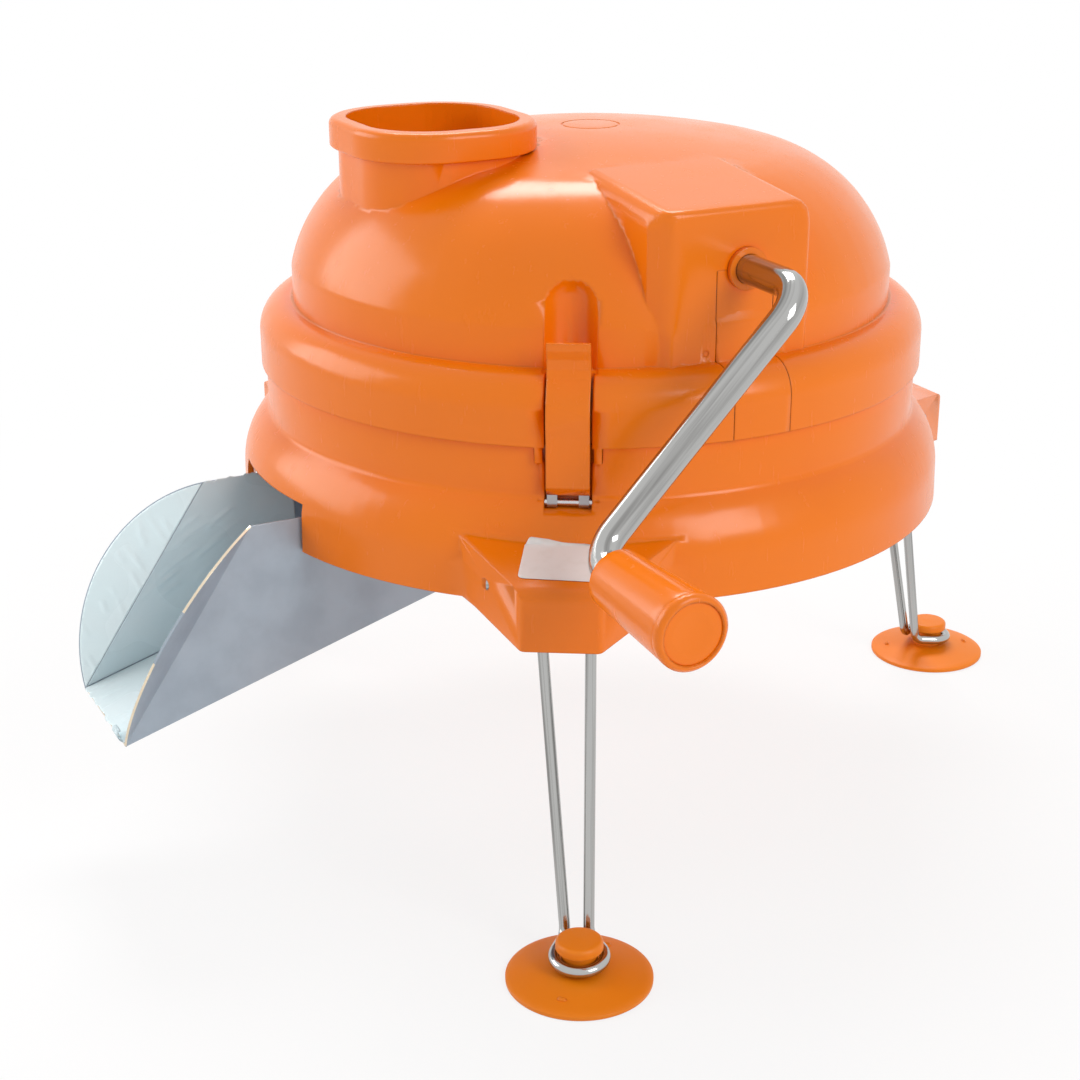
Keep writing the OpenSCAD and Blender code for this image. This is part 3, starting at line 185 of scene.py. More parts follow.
def settled(mesh, node, crease=32, body=None, stands_for=True):
    """An object for mesh that rides on the node's body, and replaces the node where it stands for it."""
    mesh.shade_smooth()
    mesh.set_sharp_from_angle(angle=math.radians(crease))
    piece = bpy.data.objects.new(mesh.name, mesh)
    bpy.context.scene.collection.objects.link(piece)
    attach(piece, body or nodes[node]["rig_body"])
    if stands_for:
        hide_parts(node)
    even = piece.modifiers.new("flat faces stay flat", "WEIGHTED_NORMAL")
    even.keep_sharp = True
    return piece


def speckle(tree, coordinates, size, detail, rough=0.5, stretch=None):
    """Noise with features about size metres across, drawn out along one axis where stretch is given."""
    if stretch:
        coordinates = joined(tree, {"Vector": coordinates, "Scale": stretch}, "ShaderNodeMapping")
    return joined(tree, {"Vector": coordinates, "Scale": 1 / size, "Detail": detail, "Roughness": rough},
                  "ShaderNodeTexNoise")


def blend_colour(tree, share, first, second, mode="MIX"):
    """Two colours mixed by share."""
    return joined(tree, {0: share, 6: first, 7: second}, "ShaderNodeMix", 2, data_type="RGBA",
                  blend_type=mode)


def new_finish(name, inputs, outputs=(("Colour", "Color"), ("Roughness", "Float"), ("Height", "Float"))):
    """An empty node group for a finish, with its sockets; gives the group, its input and its output node."""
    finish = bpy.data.node_groups.new(name, "ShaderNodeTree")
    for label, kind, default in inputs:
        finish.interface.new_socket(label, in_out="INPUT",
                                    socket_type="NodeSocket" + kind).default_value = default
    for label, kind in outputs:
        finish.interface.new_socket(label, in_out="OUTPUT", socket_type="NodeSocket" + kind)
    return finish, finish.nodes.new("NodeGroupInput"), finish.nodes.new("NodeGroupOutput")


# The look of a moulding: flow marks, rubbed patches, painted shade in its crevices, sink and orange peel
moulded_skin, skin_in, skin_out = new_finish("moulded_skin", (
    ("Colour", "Color", (0.9, 0.2, 0.002, 1)), ("Deep Colour", "Color", (0.6, 0.09, 0.001, 1)),
                                                              ("Painted Crevice Shade", "Color",
                                                               (0.12, 0.02, 0.001, 1)),
    ("Gloss", "Float", 0.24), ("Scuffs", "Float", 0.2)))
on_skin = joined(moulded_skin, {}, "ShaderNodeTexCoord", "Object")
flow = ranged(moulded_skin, speckle(moulded_skin, on_skin, 0.09, 3), 0.35, 0.7, 0.0, 0.30)
clean = blend_colour(moulded_skin, flow, skin_in.outputs["Colour"], skin_in.outputs["Deep Colour"])
# Crevices are darkened from ambient occlusion, with a little random variation: painted shade.
shut_in = joined(moulded_skin, {"Distance": 0.0016}, "ShaderNodeAmbientOcclusion", "AO", samples=6)
painted_crevice_shade = reckon(moulded_skin, "MULTIPLY", ranged(moulded_skin, shut_in, 0.10, 0.55, 0.85, 0.0),
               ranged(moulded_skin, speckle(moulded_skin, on_skin, 0.006, 3), 0.2, 0.6, 0.7, 1.0))
moulded_skin.links.new(blend_colour(moulded_skin, painted_crevice_shade, clean, skin_in.outputs["Painted Crevice Shade"]),
                       skin_out.inputs["Colour"])
rub = ranged(moulded_skin, speckle(moulded_skin, on_skin, 0.004, 4, 0.6, (1.0, 1.0, 0.16)), 0.60, 0.72)
haze = ranged(moulded_skin, speckle(moulded_skin, on_skin, 0.03, 3), 0.3, 0.7, -0.03, 0.04)
polish = reckon(moulded_skin, "ADD", skin_in.outputs["Gloss"], haze)
moulded_skin.links.new(reckon(moulded_skin, "ADD", polish,
                              reckon(moulded_skin, "MULTIPLY", rub, skin_in.outputs["Scuffs"])),
                       skin_out.inputs["Roughness"])
sink = reckon(moulded_skin, "MULTIPLY", speckle(moulded_skin, on_skin, 0.022, 2), 0.8)
peel = reckon(moulded_skin, "MULTIPLY", speckle(moulded_skin, on_skin, 0.0011, 2), 0.05)
moulded_skin.links.new(reckon(moulded_skin, "ADD", sink, peel), skin_out.inputs["Height"])


def dressed(name, group, settings, relief, strength, edge, **constants):
    """A material from a finish group, whose edges catch the light as if rounded by edge metres."""
    material = bpy.data.materials.new(name)
    material.use_nodes = True
    tree = material.node_tree
    shader = tree.nodes["Principled BSDF"]
    finish = tree.nodes.new("ShaderNodeGroup")
    finish.node_tree = group
    for label, value in settings.items():
        finish.inputs[label].default_value = (*value, 1) if isinstance(value, tuple) else value
    rounded = joined(tree, {"Radius": edge}, "ShaderNodeBevel", samples=6)
    bump = joined(tree,
                  {"Strength": strength, "Distance": relief, "Height": finish.outputs["Height"],
                   "Normal": rounded}, "ShaderNodeBump")
    tree.links.new(finish.outputs["Colour"], shader.inputs["Base Color"])
    tree.links.new(finish.outputs["Roughness"], shader.inputs["Roughness"])
    tree.links.new(bump, shader.inputs["Normal"])
    for socket, value in constants.items():
        shader.inputs[socket.replace("_", " ")].default_value = value
    return material


def moulding(name, colour, deep, shade_in_crevices, gloss, scuffs, edge=0.0007, relief=0.0004):
    """A moulded plastic or rubber, with painted shade in its crevices."""
    return dressed(name, moulded_skin,
                   {"Colour": colour, "Deep Colour": deep, "Painted Crevice Shade": shade_in_crevices, "Gloss": gloss,
                    "Scuffs": scuffs},
                   relief, 0.3, edge, IOR=1.42)


# The third colour is the painted shade in crevices.
glossy_orange = moulding("glossy_orange", (0.91, 0.200, 0.001), (0.85, 0.165, 0.001), (0.16, 0.022, 0.001),
                         0.22, 0.10, 0.0011)
housing = as_one_skin("base_housing")
housing.data.materials.append(glossy_orange)


# ---------------------------------------------------------------------------
# Label
# A plain white paper label with round corners, stuck over the step between the
# front lug and the shoulder above it. It carries no print.
# ---------------------------------------------------------------------------
def sheet_patch(outline, pitch):
    """A flat triangle mesh that fills a closed outline, its points about pitch apart."""
    across = [p[0] for p in outline], [p[1] for p in outline]
    points, spots = [Vector(p) for p in outline], []
    u = min(across[0]) + pitch / 2
    while u < max(across[0]):
        v = min(across[1]) + pitch / 2
        while v < max(across[1]):
            spots.append(Vector((u, v)))
            v += pitch
        u += pitch
    rim = points + points[:1]
    for spot in spots:
        inside = False
        nearest = pitch
        for a, b in zip(rim, rim[1:]):
            if (a.y > spot.y) != (b.y > spot.y) and spot.x < a.x + (spot.y - a.y) * (b.x - a.x) / (b.y - a.y):
                inside = not inside
            foot, _ = geometry.intersect_point_line(spot, a, b)
            share = min(max((foot - a).dot(b - a) / (b - a).length_squared, 0), 1)
            nearest = min(nearest, (spot - a.lerp(b, share)).length)
        if inside and nearest > pitch * 0.45:
            points.append(spot)
    filled = geometry.delaunay_2d_cdt(points, [], [list(range(len(outline)))], 1, 1e-7)
    return filled[0], filled[2]


def round_corners(low, high, radius, steps=6):
    """The outline of a rectangle from low to high with round corners."""
    outline = []
    centres = ((high[0] - radius, high[1] - radius), (low[0] + radius, high[1] - radius),
               (low[0] + radius, low[1] + radius), (high[0] - radius, low[1] + radius))
    for corner, (cx, cy) in enumerate(centres):
        for step in range(steps + 1):
            angle = math.radians(90 * (corner + step / steps))
            outline.append((cx + radius * math.cos(angle), cy + radius * math.sin(angle)))
    return outline


label_low, label_high = (-0.0185, -0.2005), (0.0165, -0.1735)
label_turn = math.radians(-2.5)
label_stand, label_thick = 0.00025, 0.0002
housing_tree = BVHTree.FromObject(housing, bpy.context.evaluated_depsgraph_get())
label_points, label_faces = sheet_patch(round_corners(label_low, label_high, 0.0026), 0.0014)
label_middle = Vector(((label_low[0] + label_high[0]) / 2, (label_low[1] + label_high[1]) / 2))
stuck = []
for point in label_points:
    over = label_middle + Matrix.Rotation(label_turn, 2) @ (Vector(point) - label_middle)
    hit, normal, _, _ = housing_tree.ray_cast(Vector((over.x, over.y, 0.21)), Vector((0, 0, -1)))
    stuck.append(hit + Vector((0, 0, 1)) * label_stand / max(normal.z, 0.3))
label_mesh = bpy.data.meshes.new("bare_label")
label_mesh.from_pydata(stuck, [], label_faces)
label = settled(label_mesh, "base_housing", stands_for=False)
paper, paper_in, paper_out = new_finish("label_paper", (("Colour", "Color", (0.9, 0.87, 0.85, 1)),))
on_paper = joined(paper, {}, "ShaderNodeTexCoord", "Object")
fibres = speckle(paper, on_paper, 0.0006, 4, 0.7)
worn = ranged(paper, speckle(paper, on_paper, 0.005, 4), 0.45, 0.75)
paper.links.new(blend_colour(paper, reckon(paper, "MULTIPLY", worn, 0.25), paper_in.outputs["Colour"],
                             (0.74, 0.68, 0.63, 1)), paper_out.inputs["Colour"])
paper.links.new(ranged(paper, fibres, 0.2, 0.8, 0.38, 0.55), paper_out.inputs["Roughness"])
paper.links.new(fibres, paper_out.inputs["Height"])
label_mesh.materials.append(dressed("label_white", paper, {"Colour": (0.88, 0.85, 0.83)}, 0.00005, 0.3,
                                    0.0002))
body = label.modifiers.new("paper thickness", "SOLIDIFY")
body.thickness, body.offset = label_thick, 1.0

# ---------------------------------------------------------------------------
# Spindle and its nut
# A turned stainless spindle, clamped in the deck by a hexagon nut below. The
# rotor turns on it.
# ---------------------------------------------------------------------------
worked_metal, metal_in, metal_out = new_finish("worked_metal", (
    ("Colour", "Color", (0.6, 0.6, 0.6, 1)), ("Polish", "Float", 0.2), ("Drawn", "Float", 0.3)))
on_metal = joined(worked_metal, {}, "ShaderNodeTexCoord", "Object")
lines = speckle(worked_metal, on_metal, 0.0009, 3, 0.6, (1.0, 1.0, 0.05))
cloud = ranged(worked_metal, speckle(worked_metal, on_metal, 0.018, 4), 0.3, 0.75)
worked_metal.links.new(blend_colour(worked_metal, cloud, metal_in.outputs["Colour"], (0.86, 0.86, 0.87, 1),
                                    "MULTIPLY"), metal_out.inputs["Colour"])
drawn_lines = reckon(worked_metal, "MULTIPLY", lines, metal_in.outputs["Drawn"])
worked_metal.links.new(reckon(worked_metal, "ADD", metal_in.outputs["Polish"],
                              reckon(worked_metal, "MULTIPLY", drawn_lines, cloud)),
                       metal_out.inputs["Roughness"])
worked_metal.links.new(drawn_lines, metal_out.inputs["Height"])


def metal(name, colour, polish, drawn, edge=0.0002):
    """A bare metal with drawing or grinding lines and a faint stain."""
    return dressed(name, worked_metal, {"Colour": colour, "Polish": polish, "Drawn": drawn}, 0.0002, 0.15,
                   edge, Metallic=1.0)


stainless = metal("stainless", (0.62, 0.62, 0.63), 0.22, 0.25)
for node in ("spindle", "spindle_nut"):
    as_one_skin(node).data.materials.append(stainless)


# ---------------------------------------------------------------------------
# Dicing grid
# A machined stainless frame in the deck under the hopper, with two tiers of
# sharpened strips let into it crosswise and four countersunk screws.
# ---------------------------------------------------------------------------
def new_tree(name, inputs):
    """An empty Geometry Nodes tree with a geometry in, a geometry out, a finish and the given inputs."""
    tree = bpy.data.node_groups.new(name, "GeometryNodeTree")
    tree.interface.new_socket("Geometry", in_out="INPUT", socket_type="NodeSocketGeometry")
    tree.interface.new_socket("Geometry", in_out="OUTPUT", socket_type="NodeSocketGeometry")
    for label, kind in inputs:
        tree.interface.new_socket(label, in_out="INPUT", socket_type="NodeSocket" + kind)
    tree.interface.new_socket("Finish", in_out="INPUT", socket_type="NodeSocketMaterial")
    return tree, tree.nodes.new("NodeGroupInput").outputs, tree.nodes.new("NodeGroupOutput").inputs


def close_tree(tree, made, given, out):
    """Ends a tree: instances become real and take the finish."""
    real = joined(tree, {0: made}, "GeometryNodeRealizeInstances")
    tree.links.new(joined(tree, {"Geometry": real, "Material": given["Finish"]},
                          "GeometryNodeSetMaterial"), out[0])


def grown(name, start, tree, values, finish):
    """The plain mesh that a tree makes from the mesh start with the given input values."""
    seed = bpy.data.objects.new(name, start)
    bpy.context.scene.collection.objects.link(seed)
    growth = seed.modifiers.new(name, "NODES")
    growth.node_group = tree
    sockets = {item.name: item.identifier for item in tree.interface.items_tree if item.in_out == "INPUT"}
    for label, value in {**values, "Finish": finish}.items():
        growth[sockets[label]] = value
    made = bpy.data.meshes.new_from_object(seed.evaluated_get(bpy.context.evaluated_depsgraph_get()))
    made.name = name
    bpy.data.objects.remove(seed)
    return made


# Copies of one strip, set side by side
strips, strip_in, strip_out = new_tree("row_of_strips", (("Count", "Int"), ("Step", "Vector")))
row = joined(strips, {"Count": strip_in["Count"], "Offset": strip_in["Step"], "Start Location": (0, 0, 0)},
             "GeometryNodeMeshLine")
close_tree(strips,
           joined(strips, {"Points": row, "Instance": strip_in["Geometry"]},
                  "GeometryNodeInstanceOnPoints"), strip_in, strip_out)

hopper_degrees = -148          # where the hopper, the grid and the chute lie round the machine
grid_pitch, grid_cells, strip_half, grind = 0.010, 6, 0.0004, 0.001
for node, bearing_of_row in (("grid_blades", 0), ("grid_cross_blades", 90)):
    corners = [Vector(v.co) for v in nodes[node].data.vertices]
    middle = sum(((max(c[i] for c in corners) + min(c[i] for c in corners)) / 2
                  * Vector([i == k for k in range(3)]) for i in range(3)), Vector())
    low, high = min(c.z for c in corners), max(c.z for c in corners)
    turn_row = Matrix.Rotation(math.radians(hopper_degrees + bearing_of_row), 3, "Z")
    along, sideways = turn_row @ Vector((1, 0, 0)), turn_row @ Vector((0, 1, 0))
    reach = max((c - middle).dot(along) for c in corners)
    strip = bmesh.new()
    ends = []
    for end in (-reach, reach):
        section = ((-strip_half, low), (strip_half, low), (strip_half, high - grind), (0, high),
                   (-strip_half, high - grind))
        first = middle + along * end - sideways * grid_pitch * (grid_cells - 2) / 2
        ends.append([strip.verts.new((first + sideways * w).to_2d().to_3d() + Vector((0, 0, z)))
                     for w, z in section])
    strip.faces.new(ends[0])
    strip.faces.new(ends[1][::-1])
    for k in range(5):
        strip.faces.new((ends[0][k - 1], ends[1][k - 1], ends[1][k], ends[0][k]))
    bmesh.ops.recalc_face_normals(strip, faces=strip.faces)
    strip_mesh = bpy.data.meshes.new(node + "_strip")
    strip.to_mesh(strip_mesh)
    strip.free()
    settled(grown(node + "_row", strip_mesh, strips,
                  {"Count": grid_cells - 1, "Step": sideways * grid_pitch}, stainless), node, 20)

as_one_skin("grid_frame").data.materials.append(stainless)

# Cross-recessed screws, set on points that carry their direction. A known fault:
# the cut that makes the recess turns on the last digits of the sizes, which vary
# with the order of the set in driven_screws. Where the cut fails, the head is left
# out and the two arms of the cross stand in its place.
screws, screw_in, screw_out = new_tree("cross_recess_screws", (
    ("Head Radius", "Float"), ("Head Height", "Float"), ("Shank Radius", "Float"), ("Length", "Float")))
head_r, head_h, shank_r = screw_in["Head Radius"], screw_in["Head Height"], screw_in["Shank Radius"]
sunk = joined(screws, {"Z": reckon(screws, "MULTIPLY", head_h, -1.0)}, "ShaderNodeCombineXYZ")
head = joined(screws,
              {"Vertices": 28, "Radius Top": reckon(screws, "MULTIPLY", head_r, 0.86),
               "Radius Bottom": head_r, "Depth": head_h}, "GeometryNodeMeshCone")
head = joined(screws, {"Geometry": head, "Translation": sunk}, "GeometryNodeTransform")
arm_size = {"X": reckon(screws, "MULTIPLY", head_r, 1.15), "Y": reckon(screws, "MULTIPLY", head_r, 0.22),
            "Z": head_h}
cross = screws.nodes.new("GeometryNodeJoinGeometry")
for quarter in (0.0, math.pi / 2):
    arm = joined(screws, {"Size": joined(screws, arm_size, "ShaderNodeCombineXYZ")}, "GeometryNodeMeshCube")
    screws.links.new(joined(screws, {"Geometry": arm, "Rotation": (0, 0, quarter)},
                            "GeometryNodeTransform"), cross.inputs[0])
driven = screws.nodes.new("GeometryNodeMeshBoolean")
driven.operation = "DIFFERENCE"
screws.links.new(head, driven.inputs["Mesh 1"])
screws.links.new(cross.outputs[0], driven.inputs["Mesh 2"])
shank_length = reckon(screws, "SUBTRACT", screw_in["Length"], head_h)
shank = joined(screws, {"Vertices": 16, "Radius": shank_r, "Depth": shank_length}, "GeometryNodeMeshCylinder")
shank_drop = reckon(screws, "MULTIPLY", reckon(screws, "ADD", screw_in["Length"], head_h), -0.5)
shank = joined(screws,
               {"Geometry": shank,
                "Translation": joined(screws, {"Z": shank_drop}, "ShaderNodeCombineXYZ")},
               "GeometryNodeTransform")
whole = screws.nodes.new("GeometryNodeJoinGeometry")
screws.links.new(driven.outputs["Mesh"], whole.inputs[0])
screws.links.new(shank, whole.inputs[0])
axis = joined(screws, {"Name": "axis"}, "GeometryNodeInputNamedAttribute", data_type="FLOAT_VECTOR")
turned_to = joined(screws, {"Vector": axis}, "FunctionNodeAlignRotationToVector", axis="Z")
close_tree(screws,
           joined(screws,
                  {"Points": screw_in["Geometry"], "Instance": whole.outputs[0], "Rotation": turned_to},
                  "GeometryNodeInstanceOnPoints"), screw_in, screw_out)


end_band = 0.0004              # how far from a screw's end its radius is measured


def driven_screws(node, finish):
    """Screws for a node, one for each of its solids. The last solid measured gives the size of all."""
    skin = bmesh.new()
    skin.from_mesh(nodes[node].data)
    bmesh.ops.remove_doubles(skin, verts=skin.verts, dist=2e-6)
    left, places, axes, sizes = set(skin.verts), [], [], None
    while left:
        solid, edge_of = set(), [next(iter(left))]
        while edge_of:
            vertex = edge_of.pop()
            if vertex not in solid:
                solid.add(vertex)
                edge_of += [e.other_vert(vertex) for e in vertex.link_edges]
        left -= solid
        spots = numpy.array([v.co[:] for v in solid])
        centre = (spots.max(0) + spots.min(0)) / 2
        line = numpy.linalg.svd(spots - spots.mean(0))[2][0]
        run = (spots - centre) @ line
        off = numpy.linalg.norm((spots - centre) - numpy.outer(run, line), axis=1)
        if off[run > run.max() - end_band].max() < off[run < run.min() + end_band].max():
            line, run = -line, -run
        wide = off.max()
        head_end = run[off > wide * 0.98].min()
        places.append(centre + line * run.max())
        axes.append(line)
        sizes = {"Head Radius": float(wide), "Head Height": float(run.max() - head_end),
                 "Shank Radius": float(off[run < run.min() + end_band].max()),
                 "Length": float(run.max() - run.min())}
    skin.free()
    points = bpy.data.meshes.new(node + "_places")
    points.from_pydata(places, [], [])
    axis_values = numpy.array(axes, dtype=numpy.float32).ravel()
    points.attributes.new("axis", "FLOAT_VECTOR", "POINT").data.foreach_set("vector", axis_values)
    settled(grown(node + "_driven", points, screws, sizes, finish), node, 30)


driven_screws("grid_screws", stainless)

# ---------------------------------------------------------------------------
# Chute
# One piece of folded stainless sheet screwed up under the deck, with round
# flaps bent outwards at its mouth. Its broad faces are still in blue film.
# ---------------------------------------------------------------------------
chute_turn = Matrix.Rotation(math.radians(hopper_degrees), 4, "Z")
mouth = Vector((0.2632, 0, 0.0716))
flap_corner = Vector((0.1962, 0, 0.1687))
step_x, half_width, sheet = 0.1493, 0.035, 0.0012
floor_slope = math.radians(16.3)
floor_fall = math.tan(floor_slope)
flap_out = math.radians(48)
flap_rise = 0.027
bend_line = (flap_corner - mouth).normalized()
flap_chord = (flap_corner - mouth).length
flap_arc_r = (flap_chord ** 2 / 4 + flap_rise ** 2) / (2 * flap_rise)
in_wall = Vector((bend_line.z, 0, -bend_line.x))


def flap_frame(side):
    """A flap's direction away from its bend and the normal of its inner face; side is 1 or -1."""
    away = in_wall * math.cos(flap_out) + Vector((0, side, 0)) * math.sin(flap_out)
    return away, bend_line.cross(away) * -side


# The chute's own broad faces carry the film in a darker copy of its colour: painted shade, which shows on the
# near wall.
film_steel_painted_shade = metal("film_steel_painted_shade", (0.40, 0.47, 0.54), 0.34, 0.10)
film_steel_painted_shade.node_tree.nodes["Principled BSDF"].inputs["Metallic"].default_value = 0.45
# The cut edges are bare steel, drawn warm cream and brighter than the stainless: partly bare metal, partly a
# painted highlight.
cut_edge_painted_glint = metal("cut_edge_painted_glint", (0.86, 0.74, 0.56), 0.25, 0.3)
chute = as_one_skin("chute", 20)
chute.data.materials.append(film_steel_painted_shade)
chute.data.materials.append(cut_edge_painted_glint)
broad = [Vector((0, 1, 0)), Vector((0, 0, 1)), Vector((floor_fall, 0, 1)).normalized(), flap_frame(1)[1],
         flap_frame(-1)[1]]
back_turn = chute_turn.to_3x3().inverted()
for face in chute.data.polygons:
    facing = back_turn @ face.normal
    face.material_index = 0 if max(abs(facing.dot(way)) for way in broad) > 0.98 else 1

# The protective film on the faces that show: pale, creased where it has lifted, ragged at its edges
film, film_in, film_out = new_finish("creased_film",
                                     (("Colour", "Color", (0.6, 0.75, 0.8, 1)), ("Sheen", "Float", 0.2)))
on_film = joined(film, {}, "ShaderNodeTexCoord", "Object")
lifted = ranged(film, speckle(film, on_film, 0.035, 1), 0.30, 0.75)
film.links.new(blend_colour(film, reckon(film, "MULTIPLY", lifted, 0.35), film_in.outputs["Colour"],
                            (0.86, 0.93, 0.95, 1)), film_out.inputs["Colour"])
film.links.new(reckon(film, "ADD", film_in.outputs["Sheen"], ranged(film, lifted, 0, 1, 0.0, 0.10)),
               film_out.inputs["Roughness"])
film.links.new(speckle(film, on_film, 0.0028, 3, 0.6, (1.0, 1.0, 2.2)), film_out.inputs["Height"])
blue_film = dressed("blue_film", film, {"Colour": (0.66, 0.80, 0.84), "Sheen": 0.24}, 0.0003, 0.12, 0.0001)
# The same film drawn paler for the far flap and the floor, which catch more light: painted light.
film_painted_lit = dressed("film_painted_lit", film, {"Colour": (0.82, 0.97, 1.0), "Sheen": 0.22}, 0.0003, 0.12, 0.0001)
film_random = random.Random(11)
film_stand, film_pitch = 0.00012, 0.0009


def ragged(start, end, teeth, depth):
    """Points from start to end, torn back and forth by up to depth."""
    start, end = Vector(start), Vector(end)
    side = Vector((start.y - end.y, end.x - start.x)).normalized()
    return [tuple(start.lerp(end, k / teeth) + side * film_random.uniform(-depth, depth) * (0 < k < teeth))
            for k in range(teeth + 1)]


def film_on(name, outline, place, outward, creases, area, slant, length, finish):
    """A film over one face: place puts a flat point on the face, and creases stand up from it along slant."""
    streaks = [(Vector((film_random.uniform(*area[0]), film_random.uniform(*area[1]))),
                math.radians(slant + film_random.uniform(-9, 9)),
                length * film_random.uniform(0.35, 1.0), film_random.uniform(0.00025, 0.00055))
               for _ in range(creases)]
    flat, faces = sheet_patch(outline, film_pitch)
    spots = []
    for point in flat:
        lift = film_stand + 0.00005 * (1 + noise.noise(Vector((point.x, point.y, 0)) * 90))
        for centre, angle, reach, rise in streaks:
            off = Matrix.Rotation(-angle, 2) @ (point - centre)
            bow = off.y + off.x ** 2 * 6
            lift += rise * math.exp(-(bow / 0.0013) ** 2 - (2 * off.x / reach) ** 4)
        spots.append(chute_turn @ (place(point) + outward * lift))
    mesh = bpy.data.meshes.new(name)
    mesh.from_pydata(spots, [], faces)
    mesh.materials.append(finish)
    piece = settled(mesh, "chute", 50, stands_for=False)
    if mesh.polygons[0].normal.dot(chute_turn.to_3x3() @ outward) < 0:
        mesh.flip_normals()
    foil = piece.modifiers.new("film thickness", "SOLIDIFY")
    foil.thickness, foil.offset = 0.00008, -1.0


def floor_z(x):
    """The height of the chute floor's upper face at x."""
    return mouth.z + (mouth.x - x) * floor_fall + sheet / math.cos(floor_slope)


inset = 0.0006
wall_outline = ([(mouth.x - inset, floor_z(mouth.x) + inset), (flap_corner.x + inset, flap_corner.z - inset)]
                + ragged((flap_corner.x - 0.001, flap_corner.z + 0.0006),
                         (step_x + 0.001, flap_corner.z + 0.0004), 22, 0.0009)
                + [(step_x + 0.001, floor_z(step_x) + inset)])
film_on("film_on_far_wall", wall_outline, lambda p: Vector((p.x, -half_width + sheet, p.y)),
        Vector((0, 1, 0)),
        16, ((0.185, 0.228), (0.112, 0.150)), -28, 0.030, blue_film)
flap_away, flap_normal = flap_frame(-1)
flap_root = mouth + Vector((0, -half_width + sheet / 2, 0)) + flap_normal * sheet / 2
flap_middle = Vector((flap_chord / 2, flap_rise - flap_arc_r))
half_turn = math.asin(flap_chord / 2 / flap_arc_r) - 0.012
flap_outline = [tuple(flap_middle + (flap_arc_r - 0.0007) * Vector((math.sin(a), math.cos(a))))
                for a in [half_turn * (2 * k / 48 - 1) for k in range(49)]]
film_on("film_on_far_flap", flap_outline, lambda p: flap_root + bend_line * p.x + flap_away * p.y,
        flap_normal,
        18, ((0.010, 0.090), (0.003, 0.020)), 62, 0.012, film_painted_lit)
floor_outline = (ragged((mouth.x + 0.0004, -half_width + sheet + inset),
                        (mouth.x + 0.0004, half_width - sheet - inset), 20, 0.0008)
                 + [(step_x, half_width - sheet - inset), (step_x, -half_width + sheet + inset)])
film_on("film_on_floor", floor_outline, lambda p: Vector((p.x, p.y, floor_z(p.x))),
        Vector((floor_fall, 0, 1)).normalized(),
        7, ((0.215, 0.255), (-0.03, 0.02)), 12, 0.020, film_painted_lit)

# A corner of film that has come away at the mouth and curled up
curl_r, curl_steps = 0.0019, 10
curl_points, curl_faces = [], []
for step in range(curl_steps + 1):
    bend = math.radians(-90 + 190 * step / curl_steps)
    for edge in (0.021, 0.0325 - 0.0004 * step):
        curl_points.append(chute_turn
                           @ Vector((mouth.x + 0.0002 + curl_r * math.cos(bend), edge,
                                     mouth.z + 0.0014 + curl_r * (1 + math.sin(bend)))))
    if step:
        n = 2 * step
        curl_faces.append((n - 2, n, n + 1, n - 1))
curl_mesh = bpy.data.meshes.new("film_curl")
curl_mesh.from_pydata(curl_points, [], curl_faces)
curl_mesh.materials.append(blue_film)
curl = settled(curl_mesh, "chute", 60, stands_for=False)
curl_foil = curl.modifiers.new("film thickness", "SOLIDIFY")
curl_foil.thickness = 0.0001
driven_screws("chute_screws", stainless)

# ---------------------------------------------------------------------------
# Rotor
# A cast aluminium drum whose helical ramps press the food down, with a steel
# slicing blade below and a white acetal crown gear screwed to its rim.
# ---------------------------------------------------------------------------
cast_aluminium = metal("cast_aluminium", (0.68, 0.69, 0.70), 0.38, 0.15)
# The third colour is the painted shade in crevices.
ivory_acetal = moulding("ivory_acetal", (0.74, 0.72, 0.66), (0.68, 0.65, 0.58), (0.25, 0.22, 0.18), 0.42,
                        0.05)
as_one_skin("rotor").data.materials.append(cast_aluminium)
as_one_skin("crown_gear").data.materials.append(ivory_acetal)
as_one_skin("slicing_blade").data.materials.append(stainless)
for node in ("gear_screws", "blade_screws"):
    driven_screws(node, stainless)

# ---------------------------------------------------------------------------
# Cover
# The domed half of the housing, moulded in one with its hopper, its gearbox
# and three catches. A separate insert closes the slot under the crank's shaft.
# ---------------------------------------------------------------------------
for node in ("cover_shell", "slot_insert", "crank_bush"):
    as_one_skin(node).data.materials.append(glossy_orange)
crank_degrees = -59.5
crank_bearing = Matrix.Rotation(math.radians(crank_degrees), 4, "Z")
longest_relaxed = 1.8          # in pitches: a longer edge would drag its ends along the wall


